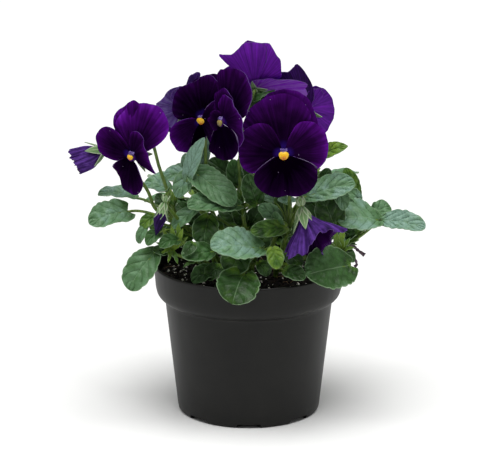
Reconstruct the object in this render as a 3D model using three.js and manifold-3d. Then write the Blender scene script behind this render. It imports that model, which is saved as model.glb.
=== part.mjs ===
// Potted pansy: a nursery pot, its compost and a pansy plant in bloom.
// Millimetres, Z up. The origin is the centre of the pot's underside, and the front faces -Y.
import * as THREE from "three";
import { mergeVertices } from "three/addons/utils/BufferGeometryUtils.js";
import Module from "manifold-3d";

const wasm = await Module();
wasm.setup();

// Pot
const POT_HEIGHT = 95.5;
const RIM_RADIUS = 60;
const COLLAR_FOOT = 73; // height where the collar meets the tapered wall
const COLLAR_RADIUS = 53.2; // outside of the wall there
const FOOT_RADIUS = 45;
const WALL = 1.6;
const CHANNEL_HEIGHT = 3; // drain channel under the floor
const CHANNEL_SLOPE = 2; // width of its sloping side at the pad
const PAD_RADIUS = 24; // middle of the floor, which stands on the table with the foot ring
const FOOT_RING = 2; // width of the ring's flat underside
const SHOULDER_DROP = 8; // height of the collar's curved shoulder
const POT_SEGMENTS = 40;
const FOOT_NOTCHES = 8;
const NOTCH_WIDTH = 15;
const NOTCH_HEIGHT = 2.6;

// Compost
const FIT_GAP = 0.3;
const COMPOST_TOP = 89.5;
const COMPOST_RINGS = [16, 30, 41, 50];
const COMPOST_SEGMENTS = 26;
const COMPOST_ROUGHNESS = 1.1;
const HOLE_DEPTH = 10;
const HOLE_RADIUS = 3;
const PERLITE_GRAINS = 12;
const GOLDEN_ANGLE = 2.4; // turn from one grain to the next, which spreads them evenly

// Plant
const LEAF_THICKNESS = 0.8;
const LEAF_STATIONS = 6;
const PETIOLE_RADIUS = 0.9;
const PETIOLE_STEPS = 3;
const SHOOT_RADIUS = 1.7;
const SHOOT_SIDES = 5;
const SHOOT_STEPS = 6;
const STALK_RADIUS = 1.2;
const STALK_SIDES = 4;
const STALK_STEPS = 7;
const PETAL_THICKNESS = 0.8;
const PETAL_COLUMNS = 8;
const PETAL_MIDDLE = 0.5; // how far out the inner row of points lies
const THROAT_RADIUS = 3.2;
const THROAT_FRONT = 1.7;
const THROAT_BACK = -3.8;
const EYE_RADIUS = 3.1;
const CALYX_OFFSET = -5;
const SEPALS = 5;
const SEPAL_LENGTH = 13;
const SEPAL_WIDTH = 4.6;
const SEPAL_THICKNESS = 0.7;
const THROAT_SIDES = 5;
const EYE_SIDES = 7;
const BELL_COLUMNS = 20;

const COLOURS = {
  pot: [0x33332f, 0.5], // colour, roughness
  compost: [0x1b1512, 1],
  leaf: [0x55794a, 0.7],
  petal: [0x32084f, 0.65],
  eye: [0xe6ae1c, 0.6],
};

const rad = THREE.MathUtils.degToRad;
const point = (list) => new THREE.Vector3(...list);

// Repeatable draws between 0 and 1
function drawsFrom(seed) {
  let state = seed;
  return () => {
    state = (state * 16807) % 2147483647;
    return state / 2147483647;
  };
}

function solidOf(geometry) {
  const bare = geometry.clone();
  bare.deleteAttribute("normal");
  bare.deleteAttribute("uv");
  const merged = mergeVertices(bare, 1e-4);
  return new wasm.Manifold(
    new wasm.Mesh({
      numProp: 3,
      vertProperties: merged.attributes.position.array,
      triVerts: new Uint32Array(merged.index.array),
    }),
  );
}

function geometryOf(solid) {
  const mesh = solid.getMesh();
  const geometry = new THREE.BufferGeometry();
  geometry.setAttribute("position", new THREE.BufferAttribute(mesh.vertProperties, 3));
  geometry.setIndex(new THREE.BufferAttribute(mesh.triVerts, 1));
  geometry.computeVertexNormals();
  return geometry;
}

const joined = (solids) => solids.reduce((whole, piece) => whole.add(piece));

function meshOf(name, solid, [colour, roughness]) {
  const material = new THREE.MeshStandardMaterial({ color: colour, roughness, metalness: 0 });
  const mesh = new THREE.Mesh(geometryOf(solid), material);
  mesh.name = name;
  return mesh;
}

function indexedSolid(points, faces) {
  const geometry = new THREE.BufferGeometry().setFromPoints(points);
  geometry.setIndex(faces.flat());
  return solidOf(geometry);
}

// A thin blade: the same triangles on both faces, half the thickness to each side, and a wall round the edge.
// Where a stem joins it, the walls at that point are left open.
function bladeShell(points, faces, thickness, openAt = -1) {
  const sheet = new THREE.BufferGeometry().setFromPoints(points);
  sheet.setIndex(faces.flat());
  sheet.computeVertexNormals();
  const shifted = (distance) =>
    points.map((p, i) => {
      const normal = new THREE.Vector3().fromBufferAttribute(sheet.attributes.normal, i);
      return p.clone().addScaledVector(normal, distance);
    });
  const count = points.length;
  const edges = new Set(faces.flatMap(([a, b, c]) => [`${a},${b}`, `${b},${c}`, `${c},${a}`]));
  const walls = [];
  for (const edge of edges) {
    const [a, b] = edge.split(",").map(Number);
    if (edges.has(`${b},${a}`) || a === openAt || b === openAt) continue;
    walls.push([b, a, a + count], [b, a + count, b + count]);
  }
  const underside = faces.map(([a, b, c]) => [a + count, c + count, b + count]);
  return {
    points: [...shifted(thickness / 2), ...shifted(-thickness / 2)],
    faces: [...faces, ...underside, ...walls],
  };
}

function bladeSolid(points, faces, thickness) {
  const shell = bladeShell(points, faces, thickness);
  return indexedSolid(shell.points, shell.faces);
}

// A round stem along a curve, tapering from one radius to the other
function stemSolid(curve, startRadius, endRadius, sides, steps) {
  const frames = curve.computeFrenetFrames(steps, false);
  const points = [curve.getPoint(0)];
  for (let i = 0; i <= steps; i++) {
    const centre = curve.getPoint(i / steps);
    const radius = THREE.MathUtils.lerp(startRadius, endRadius, i / steps);
    for (let j = 0; j < sides; j++) {
      const turn = (2 * Math.PI * j) / sides;
      points.push(
        centre
          .clone()
          .addScaledVector(frames.normals[i], radius * Math.cos(turn))
          .addScaledVector(frames.binormals[i], radius * Math.sin(turn)),
      );
    }
  }
  points.push(curve.getPoint(1));
  const last = points.length - 1;
  const ring = (i, j) => 1 + i * sides + (j % sides);
  const faces = [];
  for (let j = 0; j < sides; j++) {
    faces.push([0, ring(0, j + 1), ring(0, j)]);
    faces.push([last, ring(steps, j), ring(steps, j + 1)]);
    for (let i = 0; i < steps; i++) {
      faces.push([ring(i, j), ring(i, j + 1), ring(i + 1, j + 1)]);
      faces.push([ring(i, j), ring(i + 1, j + 1), ring(i + 1, j)]);
    }
  }
  return indexedSolid(points, faces);
}

// Pot: one moulded wall with a collar, a floor with a drain channel and a notched foot ring
function potSolid() {
  const taper = (COLLAR_RADIUS - FOOT_RADIUS) / COLLAR_FOOT;
  const wallAt = (z) => FOOT_RADIUS + taper * z;
  const floor = CHANNEL_HEIGHT + WALL;
  const ringInside = FOOT_RADIUS - 1.4 - FOOT_RING;
  const outside = [
    [0, 0],
    [PAD_RADIUS, 0],
    [PAD_RADIUS + CHANNEL_SLOPE, CHANNEL_HEIGHT],
    [ringInside - 1.2, CHANNEL_HEIGHT],
    [ringInside, 0],
    [ringInside + FOOT_RING, 0],
    [FOOT_RADIUS - 0.4, 0.5],
    [wallAt(WALL), WALL],
    [COLLAR_RADIUS, COLLAR_FOOT],
    [COLLAR_RADIUS + 2.6, COLLAR_FOOT + 1.4],
    [COLLAR_RADIUS + 4.7, COLLAR_FOOT + 4],
    [RIM_RADIUS - 1, COLLAR_FOOT + SHOULDER_DROP],
    [RIM_RADIUS, POT_HEIGHT - 1],
    [RIM_RADIUS - 0.4, POT_HEIGHT],
  ];
  const inside = [
    [RIM_RADIUS - WALL, POT_HEIGHT],
    [RIM_RADIUS - 1 - WALL, COLLAR_FOOT + SHOULDER_DROP],
    [COLLAR_RADIUS + 3.4, COLLAR_FOOT + 4.6],
    [COLLAR_RADIUS - WALL, COLLAR_FOOT + 1.2],
    [wallAt(floor) - WALL, floor],
    [PAD_RADIUS + CHANNEL_SLOPE + 0.6, floor],
    [PAD_RADIUS + 0.8, WALL],
    [0, WALL],
  ];
  const profile = [...outside, ...inside].map(([r, z]) => new THREE.Vector2(r, z));
  const shell = new THREE.LatheGeometry(profile, POT_SEGMENTS);
  shell.rotateX(Math.PI / 2);
  let pot = solidOf(shell);
  const notch = new THREE.BoxGeometry(4 * FOOT_RING, NOTCH_WIDTH, 2 * NOTCH_HEIGHT);
  for (let i = 0; i < FOOT_NOTCHES; i++) {
    const cutter = notch.clone().translate(FOOT_RADIUS, 0, 0);
    cutter.rotateZ(-Math.PI / 2 + (2 * Math.PI * i) / FOOT_NOTCHES);
    pot = pot.subtract(solidOf(cutter));
  }
  return pot;
}

// Compost: fills the pot a little short of its walls, with an uneven top and a hole for each shoot's foot
function compostSolid(feet) {
  const draw = drawsFrom(41);
  const inset = WALL + 2 * FIT_GAP;
  const bottom = CHANNEL_HEIGHT + inset;
  const edge = RIM_RADIUS - 1.2 - inset;
  const points = [new THREE.Vector3(0, 0, COMPOST_TOP)];
  const faces = [];
  const addRing = (radius, height, roughness) => {
    for (let j = 0; j < COMPOST_SEGMENTS; j++) {
      const turn = (2 * Math.PI * j) / COMPOST_SEGMENTS;
      const lump = roughness * (2 * draw() - 1);
      points.push(new THREE.Vector3(radius * Math.cos(turn), radius * Math.sin(turn), height + lump));
    }
  };
  for (const radius of COMPOST_RINGS) addRing(radius, COMPOST_TOP, COMPOST_ROUGHNESS);
  addRing(edge, COMPOST_TOP - 1, 0.3);
  addRing(edge, COLLAR_FOOT + SHOULDER_DROP + 2 * FIT_GAP, 0);
  addRing(COLLAR_RADIUS + 2.6, COLLAR_FOOT + 5, 0);
  addRing(COLLAR_RADIUS - inset, COLLAR_FOOT + 1, 0);
  addRing(FOOT_RADIUS - inset, bottom, 0);
  points.push(new THREE.Vector3(0, 0, bottom));
  const rings = COMPOST_RINGS.length + 5;
  const ring = (i, j) => 1 + i * COMPOST_SEGMENTS + (j % COMPOST_SEGMENTS);
  const last = points.length - 1;
  for (let j = 0; j < COMPOST_SEGMENTS; j++) {
    faces.push([0, ring(0, j), ring(0, j + 1)]);
    faces.push([last, ring(rings - 1, j + 1), ring(rings - 1, j)]);
    for (let i = 0; i < rings - 1; i++) {
      faces.push([ring(i, j), ring(i + 1, j), ring(i + 1, j + 1)]);
      faces.push([ring(i, j), ring(i + 1, j + 1), ring(i, j + 1)]);
    }
  }
  let compost = indexedSolid(points, faces);
  for (let i = 0; i < PERLITE_GRAINS; i++) {
    const turn = GOLDEN_ANGLE * i;
    const radius = 33 + 18 * draw();
    const grain = new THREE.OctahedronGeometry(1.4 + 0.9 * draw(), 0);
    grain.rotateX(Math.PI * draw());
    grain.translate(radius * Math.cos(turn), radius * Math.sin(turn), COMPOST_TOP + 0.4);
    compost = compost.add(solidOf(grain));
  }
  for (const [x, y] of feet) {
    const hole = new THREE.CylinderGeometry(HOLE_RADIUS, HOLE_RADIUS, 2 * HOLE_DEPTH, 6);
    hole.rotateX(Math.PI / 2).translate(x, y, COMPOST_TOP);
    compost = compost.subtract(solidOf(hole));
  }
  return compost;
}

// Leaf: a crenate blade on a petiole that leaves the shoot upwards. The midrib bows towards the face,
// and the two halves fold up from it.
function leafWidth(t) {
  return Math.pow(Math.sin(Math.PI * Math.pow(t, 0.86)), 0.6);
}

function leafSolid(shootCurve, { from, base, tip, width, face, bow = 2, fold = 14 }) {
  const start = point(base);
  const along = point(tip).sub(start);
  const length = along.length();
  along.normalize();
  const normal = point(face).addScaledVector(along, -point(face).dot(along)).normalize();
  const side = new THREE.Vector3().crossVectors(normal, along);

  const middle = (t) =>
    start
      .clone()
      .addScaledVector(along, length * t)
      .addScaledVector(normal, bow * 4 * t * (1 - t));
  const points = [middle(0)];
  for (let i = 1; i < LEAF_STATIONS; i++) {
    const t = (1 - Math.cos((Math.PI * i) / LEAF_STATIONS)) / 2;
    const crenate = i % 2 ? 1 : 0.93;
    const half = (width / 2) * leafWidth(t) * crenate;
    const rise = half * Math.sin(rad(fold));
    const out = half * Math.cos(rad(fold));
    points.push(middle(t).addScaledVector(side, out).addScaledVector(normal, rise));
    points.push(middle(t));
    points.push(middle(t).addScaledVector(side, -out).addScaledVector(normal, rise));
  }
  points.push(middle(1));
  const left = (i) => 3 * i - 2;
  const rib = (i) => (i < LEAF_STATIONS ? 3 * i - 1 : 3 * i - 2);
  const right = (i) => 3 * i;
  const end = LEAF_STATIONS - 1;
  const faces = [[0, rib(1), left(1)], [0, right(1), rib(1)]];
  for (let i = 1; i < end; i++) {
    faces.push([left(i), rib(i), rib(i + 1)], [left(i), rib(i + 1), left(i + 1)]);
    faces.push([rib(i), right(i), right(i + 1)], [rib(i), right(i + 1), rib(i + 1)]);
  }
  faces.push([left(end), rib(end), rib(end + 1)], [rib(end), right(end), rib(end + 1)]);
  const shell = bladeShell(points, faces, LEAF_THICKNESS, 0);

  // The petiole's rings of four points, from the blade back into the shoot
  const root = shootCurve.getPoint(from);
  const rising = shootCurve.getTangent(from);
  const pull = 0.35 * root.distanceTo(start);
  const petiole = new THREE.CubicBezierCurve3(
    start,
    start.clone().addScaledVector(along, -pull),
    root.clone().addScaledVector(rising, pull),
    root,
  );
  const upwards = normal.clone();
  const rings = [];
  for (let k = 0; k <= PETIOLE_STEPS; k++) {
    const centre = petiole.getPoint(k / PETIOLE_STEPS);
    const backwards = petiole.getTangent(k / PETIOLE_STEPS);
    upwards.addScaledVector(backwards, -upwards.dot(backwards)).normalize();
    const sideways = new THREE.Vector3().crossVectors(backwards, upwards);
    const offsets = [[upwards, 1], [sideways, 1], [upwards, -1], [sideways, -1]];
    rings.push(offsets.map(([way, sign]) => centre.clone().addScaledVector(way, sign * PETIOLE_RADIUS)));
  }
  const count = points.length;
  const [top, leftSide, bottom, rightSide] = [0, 2 * count, count, 2 * count + 1];
  shell.points[top] = rings[0][0];
  shell.points[bottom] = rings[0][2];
  shell.points.push(rings[0][1], rings[0][3], ...rings.slice(1).flat());
  shell.faces.push(
    [top, left(1), leftSide],
    [leftSide, left(1), left(1) + count],
    [leftSide, left(1) + count, bottom],
    [right(1), top, rightSide],
    [right(1), rightSide, right(1) + count],
    [rightSide, bottom, right(1) + count],
  );
  const first = [top, leftSide, bottom, rightSide];
  const ring = (k, j) => (k ? 2 * count + 2 + 4 * (k - 1) + (j % 4) : first[j % 4]);
  for (let k = 0; k < PETIOLE_STEPS; k++) {
    for (let j = 0; j < 4; j++) {
      shell.faces.push([ring(k, j), ring(k, j + 1), ring(k + 1, j + 1)]);
      shell.faces.push([ring(k, j), ring(k + 1, j + 1), ring(k + 1, j)]);
    }
  }
  const last = PETIOLE_STEPS;
  shell.faces.push([ring(last, 0), ring(last, 1), ring(last, 2)]);
  shell.faces.push([ring(last, 0), ring(last, 2), ring(last, 3)]);
  return indexedSolid(shell.points, shell.faces);
}

// Flower frame: the middle, the way it faces, and right and up as seen from the front
function flowerFrame({ throat, facing, up }) {
  const normal = point(facing).normalize();
  const upward = point(up).addScaledVector(normal, -point(up).dot(normal)).normalize();
  const right = new THREE.Vector3().crossVectors(upward, normal);
  const centre = point(throat);
  const place = (x, y, z) =>
    centre
      .clone()
      .addScaledVector(right, x)
      .addScaledVector(upward, y)
      .addScaledVector(normal, z);
  return { normal, upward, right, centre, place };
}

// Petals of an open flower, seen from the front. Angles in degrees from the right, reach in mm.
// layer: offset to the front. lift: rise from the flower's plane. curl: further rise by the tip.
// tilt: turn about the petal's own axis. cup: rise of its sides. notch: dent in the tip.
const OPEN_PETALS = {
  upperRight: { axis: 72, reach: 39, spread: 60, blunt: 0.3, layer: -2.6, lift: -5, wave: 0.5 },
  upperLeft: { axis: 104, reach: 38, spread: 60, blunt: 0.3, layer: -1.3, lift: -2, wave: 0.5 },
  left: { axis: 170, reach: 29, spread: 62, blunt: 0.26, layer: 0, lift: 3, wave: 0.5 },
  right: { axis: 10, reach: 29, spread: 62, blunt: 0.26, layer: 0, lift: 3, wave: 0.5 },
  lower: { axis: -90, reach: 26, spread: 74, blunt: 0.2, layer: 1.2, lift: 2, wave: 0.4, notch: 0.06 },
};

function petalSolid(frame, size, petal) {
  const { axis, reach, spread, blunt, layer, lift, wave } = petal;
  const { curl = 0, tilt = 0, cup = 0, notch = 0 } = petal;
  const outline = (across) => {
    const round = Math.pow(Math.cos((Math.PI / 2) * across), blunt);
    const dent = notch * Math.exp(-Math.pow(across / 0.16, 2));
    return size * reach * (0.1 + 0.9 * round - dent);
  };
  const place = (across, part) => {
    const distance = part * outline(across);
    const angle = rad(spread * across);
    const sideways = distance * Math.sin(angle);
    const outwards = distance * Math.cos(angle);
    const raised = rad(lift + (curl / 2) * part);
    const turned = rad(tilt * part);
    const height =
      outwards * Math.sin(raised) +
      sideways * Math.sin(turned) +
      (cup * sideways * sideways) / (size * reach) +
      layer +
      wave * part * part * Math.sin(9 * angle + axis);
    const along = outwards * Math.cos(raised);
    const beside = sideways * Math.cos(turned);
    const [c, s] = [Math.cos(rad(axis)), Math.sin(rad(axis))];
    return frame.place(along * c - beside * s, along * s + beside * c, height);
  };
  const inner = PETAL_COLUMNS / 2;
  const points = [frame.place(0, 0, layer)];
  for (let j = 0; j <= inner; j++) points.push(place((2 * j) / inner - 1, PETAL_MIDDLE));
  for (let j = 0; j <= PETAL_COLUMNS; j++) points.push(place((2 * j) / PETAL_COLUMNS - 1, 1));
  const row = (j) => 1 + j;
  const margin = (j) => 2 + inner + j;
  const faces = [];
  for (let j = 0; j < inner; j++) {
    faces.push([0, row(j), row(j + 1)]);
    faces.push([row(j), margin(2 * j), margin(2 * j + 1)]);
    faces.push([row(j), margin(2 * j + 1), row(j + 1)]);
    faces.push([row(j + 1), margin(2 * j + 1), margin(2 * j + 2)]);
  }
  return bladeSolid(points, faces, PETAL_THICKNESS);
}

// A lathed piece whose axis is the flower's facing, from a profile of [radius, height in front]
function turnedSolid(frame, profile, segments) {
  const lathe = new THREE.LatheGeometry(
    profile.map(([r, z]) => new THREE.Vector2(r, z)),
    segments,
  );
  const basis = new THREE.Matrix4().makeBasis(frame.upward, frame.normal, frame.right);
  lathe.applyMatrix4(basis.setPosition(frame.centre));
  return solidOf(lathe);
}

function petalsSolid(flower) {
  const frame = flowerFrame(flower);
  const size = flower.size ?? 1;
  const throat = turnedSolid(
    frame,
    [
      [0, THROAT_BACK],
      [THROAT_RADIUS - 1, THROAT_BACK],
      [THROAT_RADIUS, THROAT_FRONT],
      [0, THROAT_FRONT],
    ],
    THROAT_SIDES,
  );
  const petals = Object.entries(OPEN_PETALS).map(([name, petal]) =>
    petalSolid(frame, size, { ...petal, ...flower[name] }),
  );
  return joined([throat, ...petals]);
}

function eyeSolid(flower) {
  const front = THROAT_FRONT + FIT_GAP;
  return turnedSolid(
    flowerFrame(flower),
    [
      [0, front],
      [EYE_RADIUS, front],
      [EYE_RADIUS * 0.7, front + 1.1],
      [0, front + 1.5],
    ],
    EYE_SIDES,
  );
}

// Calyx: a star of five pointed, keeled sepals behind the petals
function calyxSolid(flower) {
  const frame = flowerFrame(flower);
  const droop = rad(flower.sepals ?? -6);
  const size = Math.min(1, flower.size ?? 1);
  const place = (turn, distance, beside, height) => {
    const [c, s] = [Math.cos(turn), Math.sin(turn)];
    const outwards = distance * Math.cos(droop);
    const forwards = CALYX_OFFSET + distance * Math.sin(droop) + height;
    return frame.place(outwards * c - beside * s, outwards * s + beside * c, forwards);
  };
  const half = (SEPAL_WIDTH * size) / 2;
  const reach = SEPAL_LENGTH * size;
  const points = [place(0, 0, 0, 0)];
  const faces = [];
  for (let i = 0; i < SEPALS; i++) {
    const turn = rad(90) + (2 * Math.PI * i) / SEPALS;
    points.push(place(turn - Math.PI / SEPALS, 2, 0, 0));
    points.push(place(turn, reach * 0.4, -half, 0.2));
    points.push(place(turn, reach * 0.4, 0, -0.6));
    points.push(place(turn, reach * 0.4, half, 0.2));
    points.push(place(turn, reach, 0, 0));
    const [valley, right, keel, left, tip] = [1, 2, 3, 4, 5].map((k) => 5 * i + k);
    const next = 5 * ((i + 1) % SEPALS) + 1;
    faces.push([0, valley, keel], [valley, right, keel], [right, tip, keel]);
    faces.push([0, keel, next], [next, keel, left], [keel, tip, left]);
  }
  return bladeSolid(points, faces, SEPAL_THICKNESS);
}

// Stalk: from the shoot through its own points, over the top and into the back of the calyx
function stalkSolid(shootCurve, flower) {
  const frame = flowerFrame(flower);
  const curve = new THREE.CatmullRomCurve3(
    [
      shootCurve.getPoint(flower.from),
      ...flower.stalk.map(point),
      frame.place(0, 1, CALYX_OFFSET - 5),
      frame.place(0, 0, CALYX_OFFSET),
    ],
    false,
    "catmullrom",
    0.5,
  );
  return stemSolid(curve, STALK_RADIUS, STALK_RADIUS, STALK_SIDES, STALK_STEPS);
}

// Half-open or fading flower: five petals hanging together in one pleated bell with a lobed margin
function bellSolid(flower) {
  const frame = flowerFrame(flower);
  const rows = flower.radii.length;
  const points = [frame.place(0, 0, THROAT_BACK)];
  flower.radii.forEach((radius, i) => {
    const part = (i + 1) / rows;
    for (let j = 0; j < BELL_COLUMNS; j++) {
      const turn = (2 * Math.PI * j) / BELL_COLUMNS;
      const fold = part * Math.cos(5 * turn);
      const out = radius * (1 + flower.pleat * fold);
      const height = THROAT_BACK + flower.length * part * (1 + flower.lobe * fold * part);
      points.push(frame.place(out * Math.cos(turn), out * Math.sin(turn), height));
    }
  });
  const ring = (i, j) => 1 + i * BELL_COLUMNS + (j % BELL_COLUMNS);
  const faces = [];
  for (let j = 0; j < BELL_COLUMNS; j++) {
    faces.push([0, ring(0, j + 1), ring(0, j)]);
    for (let i = 0; i < rows - 1; i++) {
      faces.push([ring(i, j), ring(i, j + 1), ring(i + 1, j + 1)]);
      faces.push([ring(i, j), ring(i + 1, j + 1), ring(i + 1, j)]);
    }
  }
  return bladeSolid(points, faces, PETAL_THICKNESS);
}

// Closed bud: petals rolled round each other, as five low twisted ridges on a pointed spindle
function rolledBudSolid(flower) {
  const frame = flowerFrame(flower);
  const profile = [0.25, 0.85, 1, 0.75, 0.42];
  const sides = 10;
  const points = [frame.place(0, 0, THROAT_BACK)];
  profile.forEach((swell, i) => {
    const height = THROAT_BACK + (flower.length * i) / profile.length;
    for (let j = 0; j < sides; j++) {
      const turn = (2 * Math.PI * j) / sides + 0.25 * i;
      const ridge = j % 2 ? 1 : 0.8;
      const radius = flower.radius * swell * ridge;
      points.push(frame.place(radius * Math.cos(turn), radius * Math.sin(turn), height));
    }
  });
  points.push(frame.place(0, 0, THROAT_BACK + flower.length));
  const ring = (i, j) => 1 + i * sides + (j % sides);
  const last = points.length - 1;
  const faces = [];
  for (let j = 0; j < sides; j++) {
    faces.push([0, ring(0, j + 1), ring(0, j)]);
    faces.push([last, ring(profile.length - 1, j), ring(profile.length - 1, j + 1)]);
    for (let i = 0; i < profile.length - 1; i++) {
      faces.push([ring(i, j), ring(i, j + 1), ring(i + 1, j + 1)]);
      faces.push([ring(i, j), ring(i + 1, j + 1), ring(i + 1, j)]);
    }
  }
  return indexedSolid(points, faces);
}

// Leaves fanned up a back shoot, to its left and right in turn, closing in on its outward side
const FAN = {
  leaves: 5,
  spread: 46, // degrees to each side at the bottom
  scatter: 24,
  petiole: [12, 22], // reach from the shoot
  rise: 12,
  blade: [25, 31],
  drop: [-4, 11], // from the blade's base to its tip
  width: [15, 19],
};

function fannedLeaves(shoot, curve) {
  const draw = drawsFrom(shoot.seed);
  const between = ([least, most]) => least + (most - least) * draw();
  return Array.from({ length: FAN.leaves }, (_, k) => {
    const from = 0.35 + (0.6 * k) / (FAN.leaves - 1);
    const aside = FAN.spread * (k % 2 ? 1 : -1) * (1 - k / FAN.leaves);
    const turn = rad(shoot.outwards + aside + FAN.scatter * (draw() - 0.5));
    const start = curve.getPoint(from);
    const out = (reach, z) => [
      start.x + reach * Math.cos(turn),
      start.y + reach * Math.sin(turn),
      start.z + z,
    ];
    const reach = between(FAN.petiole);
    const length = between(FAN.blade);
    return {
      from,
      base: out(reach, FAN.rise),
      tip: out(reach + length, FAN.rise - between(FAN.drop)),
      width: between(FAN.width),
      face: [0.2 * Math.cos(turn), 0.2 * Math.sin(turn), 1],
    };
  });
}

// Shoots: foot on the compost, points that the stem passes, and the leaves and flowers that it carries
const SHOOTS = {
  shoot_left: {
    foot: [-16, -2],
    stem: [[-25, -5, 106], [-42, -8, 122], [-48, -7, 134]],
    leaves: [
      { from: 0.72, base: [-74, -8, 126], tip: [-101, -20, 130], width: 17, face: [0.1, -0.6, 0.8] },
      { from: 0.9, base: [-72, 6, 137], tip: [-94, 2, 141], width: 15, face: [0, -0.1, 1] },
      { from: 0.6, base: [-56, -24, 131], tip: [-68, -32, 117], width: 12, face: [-0.4, -0.8, 0.3] },
      { from: 0.45, base: [-52, -30, 123], tip: [-63, -37, 118], width: 8, face: [0, -0.7, 0.7] },
      { from: 0.97, base: [-50, 10, 142], tip: [-67, 13, 146], width: 11, face: [0, -0.5, 0.9] },
    ],
  },
  shoot_left_low: {
    foot: [-17, -15],
    stem: [[-24, -22, 99], [-34, -26, 104]],
    leaves: [
      { from: 0.95, base: [-56, -31, 110], tip: [-75, -39, 88], width: 22, face: [-0.3, -0.9, 0.5] },
      { from: 0.8, base: [-44, -30, 118], tip: [-55, -38, 117], width: 9, face: [0, -0.7, 0.7] },
      { from: 0.5, base: [-24, -38, 113], tip: [-42, -46, 111], width: 13, face: [0, -0.7, 0.7] },
    ],
  },
  shoot_mid_left: {
    foot: [-8, 3],
    stem: [[-14, 0, 108], [-24, -3, 132], [-31, -4, 150]],
    leaves: [
      { from: 0.95, base: [-38, 20, 151], tip: [-54, 19, 147], width: 14, face: [0, -0.5, 0.8] },
      { from: 0.98, base: [-29, 4, 158], tip: [-38, -2, 170], width: 15, face: [0, -0.9, 0.2] },
      { from: 0.85, base: [-35, -8, 154], tip: [-50, -17, 141], width: 15, face: [-0.5, -0.7, 0.5] },
      { from: 0.9, base: [-33, -10, 157], tip: [-7, -22, 142], width: 19, face: [0.1, -0.75, 0.65] },
      { from: 0.35, base: [-18, -6, 118], tip: [-31, -1, 124], width: 14, face: [0, -0.7, 0.7] },
      { from: 0.5, base: [-29, -14, 135], tip: [-37, -21, 124], width: 13, face: [-0.4, -0.6, 0.7] },
    ],
  },
  shoot_centre: {
    foot: [1, -4],
    stem: [[0, -8, 106], [-3, -13, 126], [-4, -15, 138]],
    leaves: [
      { from: 0.8, base: [-8, -26, 140], tip: [-37, -34, 142], width: 14, face: [0, -0.5, 0.85] },
      { from: 0.9, base: [5, -27, 142], tip: [-1, -33, 160], width: 13, face: [0, -0.95, 0.3] },
      { from: 1, base: [-7, -8, 147], tip: [-10, -11, 165], width: 10, face: [0, -1, 0.2] },
      { from: 0.5, base: [-22, -25, 130], tip: [-30, -35, 119], width: 15, face: [0, -0.85, 0.5] },
    ],
  },
  shoot_front: {
    foot: [2, -22],
    stem: [[2, -28, 99], [3, -33, 107]],
    leaves: [
      { from: 0.95, base: [8, -44, 118], tip: [-24, -57, 120], width: 22, face: [0.05, -0.6, 0.8] },
      { from: 0.8, base: [1, -50, 105], tip: [-15, -68, 88], width: 27, face: [0, -0.9, 0.5] },
      { from: 0.6, base: [-5, -40, 111], tip: [-15, -50, 102], width: 16, face: [0, -0.8, 0.6] },
      { from: 0.9, base: [15, -47, 119], tip: [20, -56, 108], width: 11, face: [0, -0.85, 0.5] },
      { from: 0.3, base: [-20, -32, 100], tip: [-35, -40, 95], width: 14, face: [0, -0.6, 0.8] },
    ],
  },
  shoot_front_right: {
    foot: [17, -12],
    stem: [[20, -18, 104], [24, -25, 122]],
    leaves: [
      { from: 0.9, base: [21, -35, 128], tip: [1, -44, 129], width: 14, face: [0, -0.9, 0.4] },
      { from: 1, base: [19, -30, 130], tip: [6, -36, 141], width: 11, face: [-0.2, -0.8, 0.6] },
      { from: 0.4, base: [31, -49, 103], tip: [18, -57, 102], width: 11, face: [0, -0.7, 0.7] },
      { from: 0.9, base: [21, -32, 130], tip: [16, -39, 138], width: 8, face: [-0.2, -0.8, 0.6] },
      { from: 0.5, base: [32, -16, 113], tip: [23, -22, 125], width: 13, face: [0.2, -0.9, 0.4] },
    ],
  },
  shoot_right: {
    foot: [21, 0],
    stem: [[34, -6, 103], [50, -8, 108], [60, -4, 113]],
    leaves: [
      { from: 0.8, base: [66, -30, 104], tip: [36, -53, 97], width: 24, face: [0.1, -0.8, 0.6] },
      { from: 1, base: [80, 0, 121], tip: [56, -9, 128], width: 20, face: [0, -0.6, 0.8] },
      { from: 0.98, base: [84, 4, 122], tip: [112, -6, 121], width: 15, face: [0, -0.6, 0.8] },
      { from: 0.95, base: [82, 10, 121], tip: [78, 16, 133], width: 14, face: [0, -0.8, 0.6] },
      { from: 0.6, base: [58, -17, 108], tip: [71, -24, 101], width: 14, face: [0.3, -0.6, 0.8] },
      { from: 0.7, base: [53, -9, 122], tip: [46, -10, 142], width: 19, face: [0.2, -0.95, 0.2] },
    ],
  },
  shoot_right_high: {
    foot: [12, 9],
    stem: [[18, 8, 112], [32, 5, 134], [38, 4, 146]],
    leaves: [
      { from: 0.8, base: [36, -15, 143], tip: [65, -11, 151], width: 18, face: [0, -0.7, 0.7] },
      { from: 0.9, base: [54, -4, 144], tip: [59, -13, 134], width: 10, face: [0.3, -0.8, 0.5] },
      { from: 0.75, base: [66, 14, 131], tip: [64, 12, 154], width: 16, face: [0.3, -0.9, 0.3] },
      { from: 0.9, base: [32, -4, 144], tip: [21, -7, 154], width: 12, face: [0, -0.95, 0.2] },
      { from: 1, base: [46, -6, 165], tip: [61, -12, 173], width: 11, face: [-0.1, -0.8, 0.6] },
    ],
  },
  shoot_back_left: { foot: [-13, 17], stem: [[-22, 24, 106], [-33, 30, 128]], outwards: 144, seed: 11 },
  shoot_back: { foot: [2, 21], stem: [[2, 30, 112], [3, 36, 138]], outwards: 90, seed: 29 },
  shoot_back_right: { foot: [18, 19], stem: [[28, 26, 106], [38, 30, 128]], outwards: 38, seed: 43 },
};

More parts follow.
